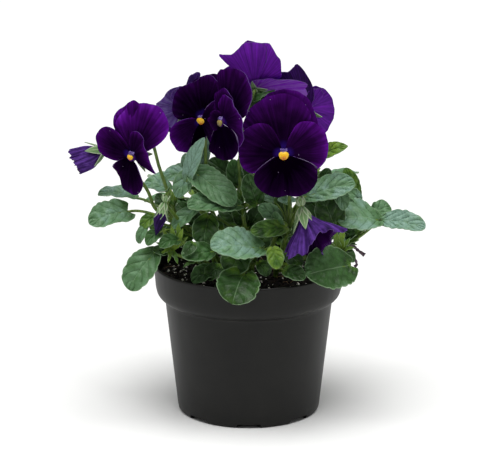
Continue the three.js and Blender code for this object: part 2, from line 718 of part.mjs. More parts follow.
// Flowers that show their face, and those seen from behind, each on its shoot
const FLOWERS = {
  bloom_left: {
    shoot: "shoot_left", from: 0.6, stalk: [[-55, -7, 150], [-61, -9, 172]],
    throat: [-72, -24, 170.5], facing: [-0.5, -0.86, 0], up: [0.25, 0, 1], size: 0.9,
    upperLeft: { axis: 106, reach: 39, spread: 46 }, upperRight: { axis: 84, reach: 38, spread: 50 },
    left: { axis: 166, reach: 29, spread: 56 }, lower: { axis: -86, reach: 26, spread: 42 },
    right: { axis: 12, lift: 22, reach: 24, spread: 60 },
  },
  bloom_mid_left: {
    shoot: "shoot_mid_left", from: 0.8, stalk: [[-27, -5, 165], [-27, -3, 190]],
    throat: [-29, -11, 191], facing: [-0.3, -0.9, -0.2], up: [-0.15, 0, 1],
    size: 0.78, left: { axis: 196, reach: 30 }, right: { reach: 16, lift: -25 }, upperRight: { axis: 66 },
  },
  bloom_mid: {
    shoot: "shoot_centre", from: 0.9, stalk: [[-6, -12, 160], [-4, -20, 184]],
    throat: [-16, -33, 194], facing: [-0.84, -0.54, 0.05], up: [0.1, 0.2, 1], size: 0.9,
    left: { reach: 12, lift: 25 }, upperLeft: { reach: 25, spread: 42, axis: 94 },
    upperRight: { axis: 78 }, lower: { axis: -78 },
  },
  bloom_front: {
    shoot: "shoot_front_right", from: 0.95, stalk: [[25, -32, 145], [22, -38, 172]],
    throat: [21, -48, 177], facing: [0, -0.97, 0.2], up: [0, 0, 1],
    upperLeft: { axis: 108, reach: 39, spread: 50 }, upperRight: { axis: 78, reach: 40, spread: 50 },
    right: { reach: 27.5 }, lower: { spread: 80 },
  },
  bloom_top: {
    shoot: "shoot_back", from: 0.9, stalk: [[1, 12, 165], [-1, -3, 192]],
    throat: [4, 2, 209], facing: [0.1, 0.9, 0.35], up: [-0.1, 0, 1], size: 0.82,
    upperLeft: { reach: 41, spread: 44 }, upperRight: { reach: 42, spread: 50 },
    left: { tilt: 50, axis: 178 },
  },
  bloom_rear_right: {
    shoot: "shoot_back_right", from: 0.9, stalk: [[42, 20, 160], [41, 14, 184]],
    throat: [37, 24, 190], facing: [-0.3, 0.85, 0.35], up: [0.1, 0, 1], size: 0.68,
    upperRight: { axis: 76, reach: 44, spread: 34 }, upperLeft: { axis: 96, reach: 24, spread: 40 },
    left: { axis: 184, reach: 32, spread: 66 },
  },
  bloom_rear_left: {
    shoot: "shoot_back_left", from: 0.9, stalk: [[-26, 18, 152], [-34, 6, 180]],
    throat: [-42, 14, 192], facing: [-0.4, 0.85, 0.2], up: [0, 0, 1], size: 0.7,
    upperRight: { reach: 26, spread: 40 }, upperLeft: { axis: 112, reach: 40, spread: 30 },
    right: { axis: 2, reach: 26 },
  },
};

// A half-open bud and a fading bloom, whose petals hang together as a pleated bell
const BELLS = {
  bloom_drooping: {
    shoot: "shoot_front_right", from: 0.5, stalk: [[21, -26, 120], [29, -31, 147]],
    throat: [33, -45, 139.5], facing: [0.2, -0.15, -0.95], up: [0, -1, 0],
    length: 25, radii: [3, 7, 12, 15.5], pleat: 0.1, lobe: 0.08, sepals: 52,
  },
  bud_left: {
    shoot: "shoot_left", from: 0.75, stalk: [[-66, -3, 148], [-84, -2, 169]],
    throat: [-93.5, -2, 168], facing: [-0.93, -0.2, -0.25], up: [0, 0, 1],
    length: 18, radii: [6, 8, 8], pleat: 0.12, lobe: 0.08, sepals: 15, size: 0.8,
  },
};

const ROLLED_BUDS = {
  bud_low: {
    shoot: "shoot_left", from: 0.62, stalk: [[-50, -24, 138], [-50, -32, 150]],
    throat: [-53, -34, 139.5], facing: [-0.2, -0.1, -0.97], up: [0, -1, 0],
    size: 0.9, length: 17, radius: 4.2, sepals: 40,
  },
};

const planter = new THREE.Group();
planter.add(meshOf("pot", potSolid(), COLOURS.pot));

const feet = Object.values(SHOOTS).map(({ foot }) => foot);
planter.add(meshOf("compost", compostSolid(feet), COLOURS.compost));

for (const [name, shoot] of Object.entries(SHOOTS)) {
  const [x, y] = shoot.foot;
  const curve = new THREE.CatmullRomCurve3(
    [
      new THREE.Vector3(x, y, COMPOST_TOP - HOLE_DEPTH + FIT_GAP),
      new THREE.Vector3(x, y, COMPOST_TOP + 2),
      ...shoot.stem.map(point),
    ],
    false,
    "catmullrom",
    0.5,
  );
  const leaves = shoot.leaves ?? fannedLeaves(shoot, curve);
  const solids = [stemSolid(curve, SHOOT_RADIUS, SHOOT_RADIUS * 0.7, SHOOT_SIDES, SHOOT_STEPS)];
  for (const leaf of leaves) solids.push(leafSolid(curve, leaf));
  for (const flower of Object.values({ ...FLOWERS, ...BELLS, ...ROLLED_BUDS })) {
    if (flower.shoot === name) solids.push(stalkSolid(curve, flower), calyxSolid(flower));
  }
  planter.add(meshOf(name, joined(solids), COLOURS.leaf));
}

for (const [name, flower] of Object.entries(FLOWERS)) {
  planter.add(meshOf(name + "_petals", petalsSolid(flower), COLOURS.petal));
  planter.add(meshOf(name + "_eye", eyeSolid(flower), COLOURS.eye));
}
for (const [name, bell] of Object.entries(BELLS)) {
  planter.add(meshOf(name + "_petals", bellSolid(bell), COLOURS.petal));
}
for (const [name, bud] of Object.entries(ROLLED_BUDS)) {
  planter.add(meshOf(name + "_petals", rolledBudSolid(bud), COLOURS.petal));
}

export default planter;
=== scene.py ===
import math
import random

import bpy
from mathutils import Matrix, Vector, noise


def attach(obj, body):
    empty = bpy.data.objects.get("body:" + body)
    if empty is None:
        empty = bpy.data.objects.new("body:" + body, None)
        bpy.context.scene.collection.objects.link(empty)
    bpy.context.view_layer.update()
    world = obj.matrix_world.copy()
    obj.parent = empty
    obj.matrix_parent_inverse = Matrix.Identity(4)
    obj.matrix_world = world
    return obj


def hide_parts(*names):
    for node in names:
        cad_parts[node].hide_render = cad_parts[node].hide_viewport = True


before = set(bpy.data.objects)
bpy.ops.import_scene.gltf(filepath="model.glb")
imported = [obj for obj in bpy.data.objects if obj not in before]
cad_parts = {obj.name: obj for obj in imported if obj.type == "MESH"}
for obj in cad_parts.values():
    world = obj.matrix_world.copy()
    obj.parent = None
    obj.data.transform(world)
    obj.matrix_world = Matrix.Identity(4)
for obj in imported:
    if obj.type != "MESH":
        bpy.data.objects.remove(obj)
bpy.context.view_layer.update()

# The scene is in metres. Lengths in the tables and dictionaries are in mm, unless a note says otherwise.
mm = 0.001


def toLinear(hexColour):
    def channel(start):
        value = int(hexColour[start:start + 2], 16) / 255
        return value / 12.92 if value <= 0.04045 else ((value + 0.055) / 1.055) ** 2.4
    return (channel(1), channel(3), channel(5), 1.0)


def addNode(tree, kind, inputs=(), **settings):
    node = tree.nodes.new("ShaderNode" + kind)
    for name, value in settings.items():
        setattr(node, name, value)
    for name, value in dict(inputs).items():
        if isinstance(value, bpy.types.NodeSocket):
            tree.links.new(value, node.inputs[name])
        else:
            node.inputs[name].default_value = value
    return node


def newMaterial(name, finish):
    material = bpy.data.materials.new(name)
    material.use_nodes = True
    tree = material.node_tree
    shader = tree.nodes["Principled BSDF"]
    for socket, value in finish.items():
        shader.inputs[socket].default_value = value
    return material, tree, shader


def setRamp(ramp, stops):
    elements = ramp.color_ramp.elements
    while len(elements) < len(stops):
        elements.new(0.5)
    for element, (place, colour) in zip(elements, stops):
        element.position = place
        element.color = toLinear(colour)
    return ramp.outputs["Color"]


def clearSelection():
    if bpy.context.object and bpy.context.object.mode != "OBJECT":
        bpy.ops.object.mode_set(mode="OBJECT")
    bpy.ops.object.select_all(action="DESELECT")


def pickOnly(piece):
    clearSelection()
    piece.select_set(True)
    bpy.context.view_layer.objects.active = piece


def mergeDoubles(piece, distance, recalculate=False):
    pickOnly(piece)
    bpy.ops.object.mode_set(mode="EDIT")
    bpy.ops.mesh.select_all(action="SELECT")
    bpy.ops.mesh.remove_doubles(threshold=distance)
    if recalculate:
        bpy.ops.mesh.normals_make_consistent(inside=False)
    bpy.ops.object.mode_set(mode="OBJECT")


def applyModifier(piece, kind, **settings):
    pickOnly(piece)
    modifier = piece.modifiers.new(kind.title(), kind)
    for name, value in settings.items():
        setattr(modifier, name, value)
    bpy.ops.object.modifier_apply(modifier=modifier.name)


def joinPieces(parts, name):
    clearSelection()
    for part in parts:
        part.select_set(True)
    bpy.context.view_layer.objects.active = parts[0]
    if len(parts) > 1:
        bpy.ops.object.join()
    whole = bpy.context.view_layer.objects.active
    whole.name = name
    whole.data.name = name
    return whole


def finishPiece(piece, slotName, *nodes):
    pickOnly(piece)
    bpy.ops.object.shade_smooth_by_angle(angle=math.radians(50))
    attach(piece, "root")
    if nodes:
        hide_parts(*nodes)


# A copy of a flat unit grid, each point moved by place(x, y), with named values on its points
def shapedCopy(unit, name, place, values):
    sheet = unit.copy()
    sheet.data = unit.data.copy()
    sheet.name = name
    bpy.context.collection.objects.link(sheet)
    flat = [(v.co.x, v.co.y) for v in sheet.data.vertices]
    for label, value in values.items():
        layer = sheet.data.attributes.new(label, "FLOAT", "POINT")
        layer.data.foreach_set("value", [value(*p) if callable(value) else value for p in flat])
    for vertex, p in zip(sheet.data.vertices, flat):
        vertex.co = place(*p) * mm
    return sheet


# Unit sheet: x from 0 to 1 along it, y from -1 to 1 across. Its ends, or only its start, close to a point.
# crowding above 1 sets the points closer together along the middle line.
def unitSheet(name, along, across, closedEnds, materials, crowding=1.0):
    clearSelection()
    bpy.ops.mesh.primitive_grid_add(x_subdivisions=along, y_subdivisions=across, size=1)
    sheet = bpy.context.object
    sheet.name = name
    for vertex in sheet.data.vertices:
        x, y = vertex.co.x + 0.5, 2 * vertex.co.y
        y = math.copysign(abs(y) ** crowding, y)
        if any(abs(x - end) < 0.001 for end in closedEnds):
            y = 0
        vertex.co = (x, y, 0)
    mergeDoubles(sheet, 0.0005)
    for material in materials:
        sheet.data.materials.append(material)
    return sheet


# A solid of revolution about the Z axis, from its outline as (radius, height) in mm
def turnedPiece(outline, steps):
    clearSelection()
    bpy.ops.mesh.primitive_circle_add(vertices=len(outline), radius=50 * mm, fill_type="NOTHING")
    piece = bpy.context.object
    for vertex, (radius, height) in zip(piece.data.vertices, outline):
        vertex.co = (radius * mm, 0, height * mm)
    bpy.ops.object.mode_set(mode="EDIT")
    bpy.ops.mesh.select_all(action="SELECT")
    bpy.ops.mesh.spin(steps=steps, angle=2 * math.pi, center=(0, 0, 0), axis=(0, 0, 1))
    bpy.ops.object.mode_set(mode="OBJECT")
    mergeDoubles(piece, 0.00004, recalculate=True)
    return piece


# Smooth path through the points, the same as the CAD stems follow
def smoothPath(points):
    stops = [Vector(p) for p in points]
    padded = [2 * stops[0] - stops[1]] + stops + [2 * stops[-1] - stops[-2]]
    spans = len(stops) - 1

    def at(t):
        place = min(max(t, 0), 1) * spans
        i = min(int(place), spans - 1)
        w = place - i
        before, start, end, after = padded[i:i + 4]
        leave, arrive = (end - before) * 0.5, (after - start) * 0.5
        return ((2 * w ** 3 - 3 * w ** 2 + 1) * start + (w ** 3 - 2 * w ** 2 + w) * leave
                + (3 * w ** 2 - 2 * w ** 3) * end + (w ** 3 - w ** 2) * arrive)
    return at


def directionOf(path, t):
    return (path(min(t + 0.001, 1)) - path(max(t - 0.001, 0))).normalized()


# Round strands along lists of points, each point with its own radius, as one mesh
def tubes(name, strands, material, sides=3):
    curve = bpy.data.curves.new(name, "CURVE")
    curve.dimensions = "3D"
    curve.bevel_depth = mm
    curve.bevel_resolution = sides
    curve.use_fill_caps = True
    for strand in strands:
        spline = curve.splines.new("POLY")
        spline.points.add(len(strand) - 1)
        for knot, (place, radius) in zip(spline.points, strand):
            knot.co = (*(place * mm), 1)
            knot.radius = radius
    tube = bpy.data.objects.new(name, curve)
    bpy.context.collection.objects.link(tube)
    pickOnly(tube)
    bpy.ops.object.convert(target="MESH")
    tube = bpy.context.object
    tube.data.materials.append(material)
    return tube


# Repeatable draws between 0 and 1, as the CAD takes them
def drawsFrom(seed):
    multiplier, modulus = 16807, 2147483647
    state = [seed]

    def draw():
        state[0] = state[0] * multiplier % modulus
        return state[0] / modulus
    return draw


print("camera, light and floor")
# The camera stands 1.6 m off and 15.5 degrees up, fitted to the ellipses of the pot's rim and foot
view = dict(distance=1600, elevation=15.46, target=(-5.2, 0, 111.5), lens=189.53, sensor=36)
target = Vector(view["target"])
rise = math.radians(view["elevation"])
lookFrom = target + view["distance"] * Vector((0, -math.cos(rise), math.sin(rise)))
bpy.ops.object.camera_add(location=lookFrom * mm)
camera = bpy.context.object
camera.rotation_euler = (target - lookFrom).to_track_quat("-Z", "Y").to_euler()
camera.data.lens = view["lens"]
camera.data.sensor_width = view["sensor"]
bpy.context.scene.camera = camera
bpy.context.scene.view_settings.view_transform = "Standard"

# A wide soft light from above and a weak strip at each side. Angles in degrees, places in metres.
studio = dict(sunPower=3.42, sunSpread=52, sunHeight=80, sunSide=-4, air=0.19, stripPower=0.35,
              stripAt=(0.75, -0.1, 0.2), stripSize=0.5, stripAim=(0, 0, 0.1), floorSize=14)
bpy.ops.object.light_add(type="SUN", location=(0, -1, 2))
softbox = bpy.context.object
softbox.name = "softbox"
softbox.data.energy = studio["sunPower"]
softbox.data.angle = math.radians(studio["sunSpread"])
height, aside = math.radians(studio["sunHeight"]), math.radians(studio["sunSide"])
level = math.cos(height)
towards = Vector((level * math.sin(aside), -level * math.cos(aside), math.sin(height)))
softbox.rotation_euler = towards.to_track_quat("Z", "Y").to_euler()
for name, side in (("stripLeft", -1), ("stripRight", 1)):
    spot = Vector(studio["stripAt"])
    spot.x *= side
    bpy.ops.object.light_add(type="AREA", location=spot)
    strip = bpy.context.object
    strip.name = name
    strip.rotation_euler = (Vector(studio["stripAim"]) - spot).to_track_quat("-Z", "Y").to_euler()
    strip.data.size = studio["stripSize"]
    strip.data.energy = studio["stripPower"]

world = bpy.data.worlds.new("studioAir")
bpy.context.scene.world = world
world.use_nodes = True
world.node_tree.nodes["Background"].inputs["Color"].default_value = toLinear("#ffffff")
world.node_tree.nodes["Background"].inputs["Strength"].default_value = studio["air"]

# Matt white paper floor, a flat plane, slightly uneven in tone
paper, paperTree, paperShader = newMaterial("paperFloor", {"Roughness": 0.9, "Specular IOR Level": 0.1})
where = addNode(paperTree, "TexCoord").outputs["Object"]
cloudy = addNode(paperTree, "TexNoise", {"Vector": where, "Scale": 1 / 0.4, "Detail": 2.0})
tone = addNode(paperTree, "ValToRGB", {"Fac": cloudy.outputs["Fac"]})
paperTree.links.new(setRamp(tone, [(0.3, "#efefee"), (0.7, "#f4f4f3")]), paperShader.inputs["Base Color"])
clearSelection()
bpy.ops.mesh.primitive_plane_add(size=studio["floorSize"], location=(0, 0, 0))
floor = bpy.context.object
floor.name = "floor"
floor.data.materials.append(paper)


print("materials")


# Where a point lies on its sheet: along it, across it, and how far from its middle line
def sheetPlace(tree):
    flat = addNode(tree, "SeparateXYZ", {0: addNode(tree, "UVMap", uv_map="UVMap").outputs[0]})
    off = addNode(tree, "Math", {0: flat.outputs["Y"], 1: 0.5}, operation="SUBTRACT").outputs[0]
    aside = addNode(tree, "Math", {0: off}, operation="ABSOLUTE").outputs[0]
    return flat.outputs["X"], flat.outputs["Y"], aside


# Moulded polypropylene with carbon black: satin, faintly grained, a little paler where it is scuffed
def mouldedPolypropylene():
    material, tree, shader = newMaterial("mouldedPolypropylene", {
        "Roughness": 0.46, "IOR": 1.49, "Specular IOR Level": 0.22,
    })
    where = addNode(tree, "TexCoord").outputs["Object"]
    cloud = addNode(tree, "TexNoise", {"Vector": where, "Scale": 1 / (18 * mm), "Detail": 4.0})
    base = addNode(tree, "ValToRGB", {"Fac": cloud.outputs["Fac"]})
    darkness = setRamp(base, [(0.3, "#141413"), (0.62, "#181816"), (0.8, "#1e1e1c")])
    # flow marks of the mould run up the wall
    squeezed = addNode(tree, "Mapping", {"Vector": where, "Scale": (1, 1, 0.06)})
    flow = addNode(tree, "TexNoise", {"Vector": squeezed.outputs[0], "Scale": 1 / (5 * mm), "Detail": 3.0})
    streaky = addNode(tree, "ValToRGB", {"Fac": flow.outputs["Fac"]})
    streaks = setRamp(streaky, [(0.35, "#d8d8d8"), (0.7, "#ffffff")])
    mixed = addNode(tree, "MixRGB", {
        "Fac": 0.5, "Color1": darkness, "Color2": streaks,
    }, blend_type="MULTIPLY")
    tree.links.new(mixed.outputs[0], shader.inputs["Base Color"])
    gloss = addNode(tree, "MapRange", {"Value": flow.outputs["Fac"], "To Min": 0.4, "To Max": 0.54})
    tree.links.new(gloss.outputs[0], shader.inputs["Roughness"])
    # spark-eroded grain, 0.7 mm, drawn coarser than the real 0.1 mm so that it shows
    grain = addNode(tree, "TexNoise", {"Vector": where, "Scale": 1 / (0.7 * mm), "Detail": 2.0})
    bump = addNode(tree, "Bump", {"Height": grain.outputs["Fac"], "Strength": 0.12, "Distance": 0.1 * mm})
    tree.links.new(bump.outputs[0], shader.inputs["Normal"])
    return material


# Damp sphagnum peat: nearly black crumbs, matt, browner where they have dried
def dampPeat(name, dark, brown, grainSize):
    material, tree, shader = newMaterial(name, {"Roughness": 0.95, "Specular IOR Level": 0.25})
    where = addNode(tree, "TexCoord").outputs["Object"]
    crumbs = addNode(tree, "TexVoronoi", {"Vector": where, "Scale": 1 / (grainSize * mm)})
    colour = addNode(tree, "ValToRGB", {"Fac": crumbs.outputs["Color"]})
    tree.links.new(setRamp(colour, [(0.35, dark), (0.9, brown)]), shader.inputs["Base Color"])
    rough = addNode(tree, "TexNoise", {"Vector": where, "Scale": 1 / (0.8 * mm), "Detail": 4.0})
    bump = addNode(tree, "Bump", {"Height": rough.outputs["Fac"], "Strength": 0.9, "Distance": 0.6 * mm})
    tree.links.new(bump.outputs[0], shader.inputs["Normal"])
    return material


# Pansy leaf: soft matt skin, a sunken net of veins, a pale midrib and margin. tone runs from young
# yellow-green at 0 to grown sage at 1, and holds painted light and shade too: its near-black green stop
# is painted shade for leaves deep in the bush, and its pale sage top end is partly painted sky reflection
# on leaves that face up. veinLine crosses a whole number at each side vein.
def leafSkin(name, tones, veinColour, ribColour, sunken):
    material, tree, shader = newMaterial(name, {
        "Roughness": 0.42, "IOR": 1.42, "Specular IOR Level": 0.36,
        "Sheen Weight": 0.03, "Sheen Roughness": 0.45, "Sheen Tint": toLinear("#dfeee2"),
    })
    where = addNode(tree, "TexCoord").outputs["Object"]
    lengthwise, _, aside = sheetPlace(tree)
    toneAndShade = addNode(tree, "Attribute", attribute_name="tone").outputs["Fac"]
    line = addNode(tree, "Attribute", attribute_name="veinLine").outputs["Fac"]
    # slow mottling, 7 mm across, moves the tone a little
    mottle = addNode(tree, "TexNoise", {"Vector": where, "Scale": 1 / (7 * mm), "Detail": 3.0})
    shift = addNode(tree, "Math", {
        0: mottle.outputs["Fac"], 1: 0.6, 2: toneAndShade,
    }, operation="MULTIPLY_ADD").outputs[0]
    shift = addNode(tree, "Math", {0: shift, 1: 0.3}, operation="SUBTRACT").outputs[0]
    # greener and darker where the blade joins its petiole
    joint = addNode(tree, "MapRange", {
        "Value": lengthwise, "From Min": 0.02, "From Max": 0.3, "To Min": 0.2, "To Max": 0.0,
    }, interpolation_type="SMOOTHSTEP").outputs[0]
    shift = addNode(tree, "Math", {0: shift, 1: joint}, operation="SUBTRACT").outputs[0]
    skin = setRamp(addNode(tree, "ValToRGB", {"Fac": shift}), tones)
    # side veins follow veinLine, and the midrib lies along the middle
    away = addNode(tree, "Math", {0: line, 1: 0.5}, operation="PINGPONG").outputs[0]
    sideVein = addNode(tree, "MapRange", {
        "Value": away, "From Min": 0.0, "From Max": 0.09, "To Min": 1.0, "To Max": 0.0,
    }, interpolation_type="SMOOTHSTEP").outputs[0]
    # the net between them has 1.9 mm cells, drawn coarser than the real 0.5 mm so that it shows
    cells = addNode(tree, "TexVoronoi", {
        "Vector": where, "Scale": 1 / (1.9 * mm),
    }, feature="DISTANCE_TO_EDGE")
    net = addNode(tree, "MapRange", {
        "Value": cells.outputs["Distance"], "From Min": 0.0, "From Max": 0.16, "To Min": 1.0, "To Max": 0.0,
    }, interpolation_type="SMOOTHSTEP").outputs[0]
    rib = addNode(tree, "MapRange", {
        "Value": aside, "From Min": 0.0, "From Max": 0.035, "To Min": 1.0, "To Max": 0.0,
    }, interpolation_type="SMOOTHSTEP").outputs[0]
    margin = addNode(tree, "MapRange", {
        "Value": aside, "From Min": 0.47, "From Max": 0.5, "To Min": 0.0, "To Max": 0.5,
    }, interpolation_type="SMOOTHSTEP").outputs[0]
    netShare = addNode(tree, "Math", {0: net, 1: 0.2}, operation="MULTIPLY").outputs[0]
    veins = addNode(tree, "Math", {0: sideVein, 1: 0.42, 2: netShare}, operation="MULTIPLY_ADD").outputs[0]
    veined = addNode(tree, "MixRGB", {"Fac": veins, "Color1": skin, "Color2": toLinear(veinColour)})
    ribShare = addNode(tree, "Math", {0: rib, 1: 0.34}, operation="MULTIPLY").outputs[0]
    pale = addNode(tree, "Math", {0: ribShare, 1: margin}, operation="MAXIMUM").outputs[0]
    painted = addNode(tree, "MixRGB", {
        "Fac": pale, "Color1": veined.outputs[0], "Color2": toLinear(ribColour),
    })
    tree.links.new(painted.outputs[0], shader.inputs["Base Color"])
    relief = addNode(tree, "Math", {0: veins, 1: ribShare}, operation="MAXIMUM").outputs[0]
    bump = addNode(tree, "Bump", {"Height": relief, "Strength": 0.8, "Distance": 0.5 * mm}, invert=sunken)
    tree.links.new(bump.outputs[0], shader.inputs["Normal"])
    return material


# Soft green stem: olive, lighter where it is ribbed, slightly glossy
def stemSkin():
    material, tree, shader = newMaterial("stemSkin", {"Roughness": 0.48, "Specular IOR Level": 0.45})
    where = addNode(tree, "TexCoord").outputs["Object"]
    stretched = addNode(tree, "Mapping", {"Vector": where, "Scale": (1, 1, 0.25)})
    streak = addNode(tree, "TexNoise", {
        "Vector": stretched.outputs[0], "Scale": 1 / (1.5 * mm), "Detail": 3.0,
    })
    colour = addNode(tree, "ValToRGB", {"Fac": streak.outputs["Fac"]})
    stops = [(0.3, "#41601c"), (0.55, "#5f7a2b"), (0.75, "#82954a")]
    tree.links.new(setRamp(colour, stops), shader.inputs["Base Color"])
    bump = addNode(tree, "Bump", {"Height": streak.outputs["Fac"], "Strength": 0.3, "Distance": 0.2 * mm})
    tree.links.new(bump.outputs[0], shader.inputs["Normal"])
    return material


# Sepal: thin grey-green blade, its keel and margin nearly white
def sepalSkin():
    material, tree, shader = newMaterial("sepalSkin", {"Roughness": 0.6, "Specular IOR Level": 0.35})
    _, _, aside = sheetPlace(tree)
    where = addNode(tree, "TexCoord").outputs["Object"]
    mottle = addNode(tree, "TexNoise", {"Vector": where, "Scale": 1 / (2 * mm), "Detail": 3.0})
    moved = addNode(tree, "Math", {0: mottle.outputs["Fac"], 1: 0.12, 2: aside}, operation="MULTIPLY_ADD")
    colour = addNode(tree, "ValToRGB", {"Fac": moved.outputs[0]})
    stops = [(0.06, "#a0b28a"), (0.16, "#64854f"), (0.4, "#6b8e5c"), (0.53, "#a8b796")]
    tree.links.new(setRamp(colour, stops), shader.inputs["Base Color"])
    return material


# Pansy petal, face: velvet of fine papillae, nearly black at the heart and violet towards the margin,
# with radial streaks. light lifts a whole petal, and its values hold painted light and shade as well as the
# petal's own colour. fan runs across the petal's rays.
def petalFace():
    material, tree, shader = newMaterial("petalVelvet", {
        "Roughness": 0.75, "IOR": 1.4, "Specular IOR Level": 0.0,
        "Sheen Weight": 0.22, "Sheen Roughness": 0.35, "Sheen Tint": toLinear("#5f0a96"),
    })
    where = addNode(tree, "TexCoord").outputs["Object"]
    part, fan, aside = sheetPlace(tree)
    light = addNode(tree, "Attribute", attribute_name="light").outputs["Fac"]
    rays = addNode(tree, "CombineXYZ", {"X": part, "Y": fan, "Z": light})
    stretched = addNode(tree, "Mapping", {"Vector": rays.outputs[0], "Scale": (1.3, 34, 9)})
    streak = addNode(tree, "TexNoise", {"Vector": stretched.outputs[0], "Scale": 1.0, "Detail": 3.0})
    broad = addNode(tree, "TexNoise", {"Vector": where, "Scale": 1 / (9 * mm), "Detail": 2.0})
    grown = addNode(tree, "Math", {0: part, 1: 2.6}, operation="POWER").outputs[0]
    grown = addNode(tree, "Math", {0: grown, 1: 0.44, 2: light}, operation="MULTIPLY_ADD").outputs[0]
    patchy = addNode(tree, "Math", {0: broad.outputs["Fac"], 1: 0.5}, operation="SUBTRACT").outputs[0]
    grown = addNode(tree, "Math", {0: patchy, 1: 0.34, 2: grown}, operation="MULTIPLY_ADD").outputs[0]
    streaky = addNode(tree, "Math", {0: streak.outputs["Fac"], 1: 0.5}, operation="SUBTRACT").outputs[0]
    grown = addNode(tree, "Math", {0: streaky, 1: 0.5, 2: grown}, operation="MULTIPLY_ADD").outputs[0]
    depth = addNode(tree, "ValToRGB", {"Fac": grown})
    velvet = setRamp(depth, [(0.0, "#040007"), (0.22, "#12021c"), (0.42, "#210530"), (0.62, "#3b0a57"),
                             (0.82, "#5c1488"), (1.0, "#7b2fae")])
    # blue-violet glow round the throat, not on the lower petal, whose pale value is above 0.4
    glow = addNode(tree, "MapRange", {
        "Value": part, "From Min": 0.08, "From Max": 0.25, "To Min": 0.8, "To Max": 0.0,
    }, interpolation_type="SMOOTHSTEP").outputs[0]
    pale = addNode(tree, "Attribute", attribute_name="pale").outputs["Fac"]
    upper = addNode(tree, "Math", {0: pale, 1: 0.4}, operation="LESS_THAN").outputs[0]
    glow = addNode(tree, "Math", {0: glow, 1: upper}, operation="MULTIPLY").outputs[0]
    glowing = addNode(tree, "MixRGB", {"Fac": glow, "Color1": velvet, "Color2": toLinear("#2c1670")})
    # the lower petal's straight sides run out into a pale line, painted highlight where their edges catch
    # the light
    side = addNode(tree, "MapRange", {"Value": aside, "From Min": 0.34, "From Max": 0.42}).outputs[0]
    brim = addNode(tree, "MapRange", {
        "Value": part, "From Min": 0.9, "From Max": 0.96, "To Max": 0.85,
    }).outputs[0]
    line = addNode(tree, "Math", {0: side, 1: brim}, operation="MULTIPLY").outputs[0]
    line = addNode(tree, "Math", {0: line, 1: pale}, operation="MULTIPLY").outputs[0]
    lower = addNode(tree, "Math", {0: pale, 1: 0.4}, operation="GREATER_THAN").outputs[0]
    line = addNode(tree, "Math", {0: line, 1: lower}, operation="MULTIPLY").outputs[0]
    sideHighlight = addNode(tree, "MixRGB", {
        "Fac": line, "Color1": glowing.outputs[0], "Color2": toLinear("#c4b4dc"),
    })
    # settled dust: one grain in two of every five 4.5 mm cells
    cells = addNode(tree, "TexVoronoi", {"Vector": where, "Scale": 1 / (4.5 * mm)})
    dust = addNode(tree, "MapRange", {
        "Value": cells.outputs["Distance"], "From Min": 0.04, "From Max": 0.065,
        "To Min": 0.6, "To Max": 0.0,
    }).outputs[0]
    lot = addNode(tree, "SeparateXYZ", {0: cells.outputs["Color"]}).outputs["X"]
    lot = addNode(tree, "Math", {0: lot, 1: 0.6}, operation="GREATER_THAN").outputs[0]
    dust = addNode(tree, "Math", {0: dust, 1: lot}, operation="MULTIPLY").outputs[0]
    dusty = addNode(tree, "MixRGB", {
        "Fac": dust, "Color1": sideHighlight.outputs[0], "Color2": toLinear("#b9a9c9"),
    })
    tree.links.new(dusty.outputs[0], shader.inputs["Base Color"])
    bump = addNode(tree, "Bump", {"Height": streak.outputs["Fac"], "Strength": 0.35, "Distance": 0.3 * mm})
    tree.links.new(bump.outputs[0], shader.inputs["Normal"])
    return material


# Pansy petal, back: thinner colour than the face, with raised paler rays. contrast sets them off.
def petalReverse(name, stops, contrast):
    material, tree, shader = newMaterial(name, {
        "Roughness": 0.7, "IOR": 1.4, "Specular IOR Level": 0.1,
        "Sheen Weight": 0.2, "Sheen Roughness": 0.4, "Sheen Tint": toLinear("#7a30c0"),
    })
    part, fan, _ = sheetPlace(tree)
    light = addNode(tree, "Attribute", attribute_name="light").outputs["Fac"]
    rays = addNode(tree, "CombineXYZ", {"X": part, "Y": fan, "Z": light})
    stretched = addNode(tree, "Mapping", {"Vector": rays.outputs[0], "Scale": (1.0, 42, 9)})
    streak = addNode(tree, "TexNoise", {"Vector": stretched.outputs[0], "Scale": 1.0, "Detail": 3.0})
    lifted = addNode(tree, "Math", {0: light, 1: 0.75}, operation="MULTIPLY").outputs[0]
    rayed = addNode(tree, "Math", {
        0: streak.outputs["Fac"], 1: contrast, 2: lifted,
    }, operation="MULTIPLY_ADD").outputs[0]
    where = addNode(tree, "TexCoord").outputs["Object"]
    crumple = addNode(tree, "TexNoise", {"Vector": where, "Scale": 1 / (3.5 * mm), "Detail": 3.0})
    crumpled = addNode(tree, "Math", {
        0: crumple.outputs["Fac"], 1: contrast - 0.5, 2: rayed,
    }, operation="MULTIPLY_ADD").outputs[0]
    # the middle tone stays the same at any contrast
    value = addNode(tree, "Math", {0: crumpled, 1: contrast - 0.545}, operation="SUBTRACT").outputs[0]
    colour = addNode(tree, "ValToRGB", {"Fac": value})
    tree.links.new(setRamp(colour, stops), shader.inputs["Base Color"])
    bump = addNode(tree, "Bump", {"Height": streak.outputs["Fac"], "Strength": 0.4, "Distance": 0.3 * mm})
    tree.links.new(bump.outputs[0], shader.inputs["Normal"])
    return material


# Petal margin: the cut edge of the sheet, where the colour thins out and a painted highlight lightens it
# where the edges catch the light. pale whitens it near the throat, painted highlight as well.
def petalMarginAndHighlight():
    material, tree, shader = newMaterial("petalMarginAndHighlight", {"Roughness": 0.6, "Specular IOR Level": 0.3})
    pale = addNode(tree, "Attribute", attribute_name="pale").outputs["Fac"]
    colour = addNode(tree, "ValToRGB", {"Fac": pale})
    stops = [(0.0, "#2c1044"), (0.5, "#5f3f86"), (1.0, "#cfc8e2")]
    tree.links.new(setRamp(colour, stops), shader.inputs["Base Color"])
    return material


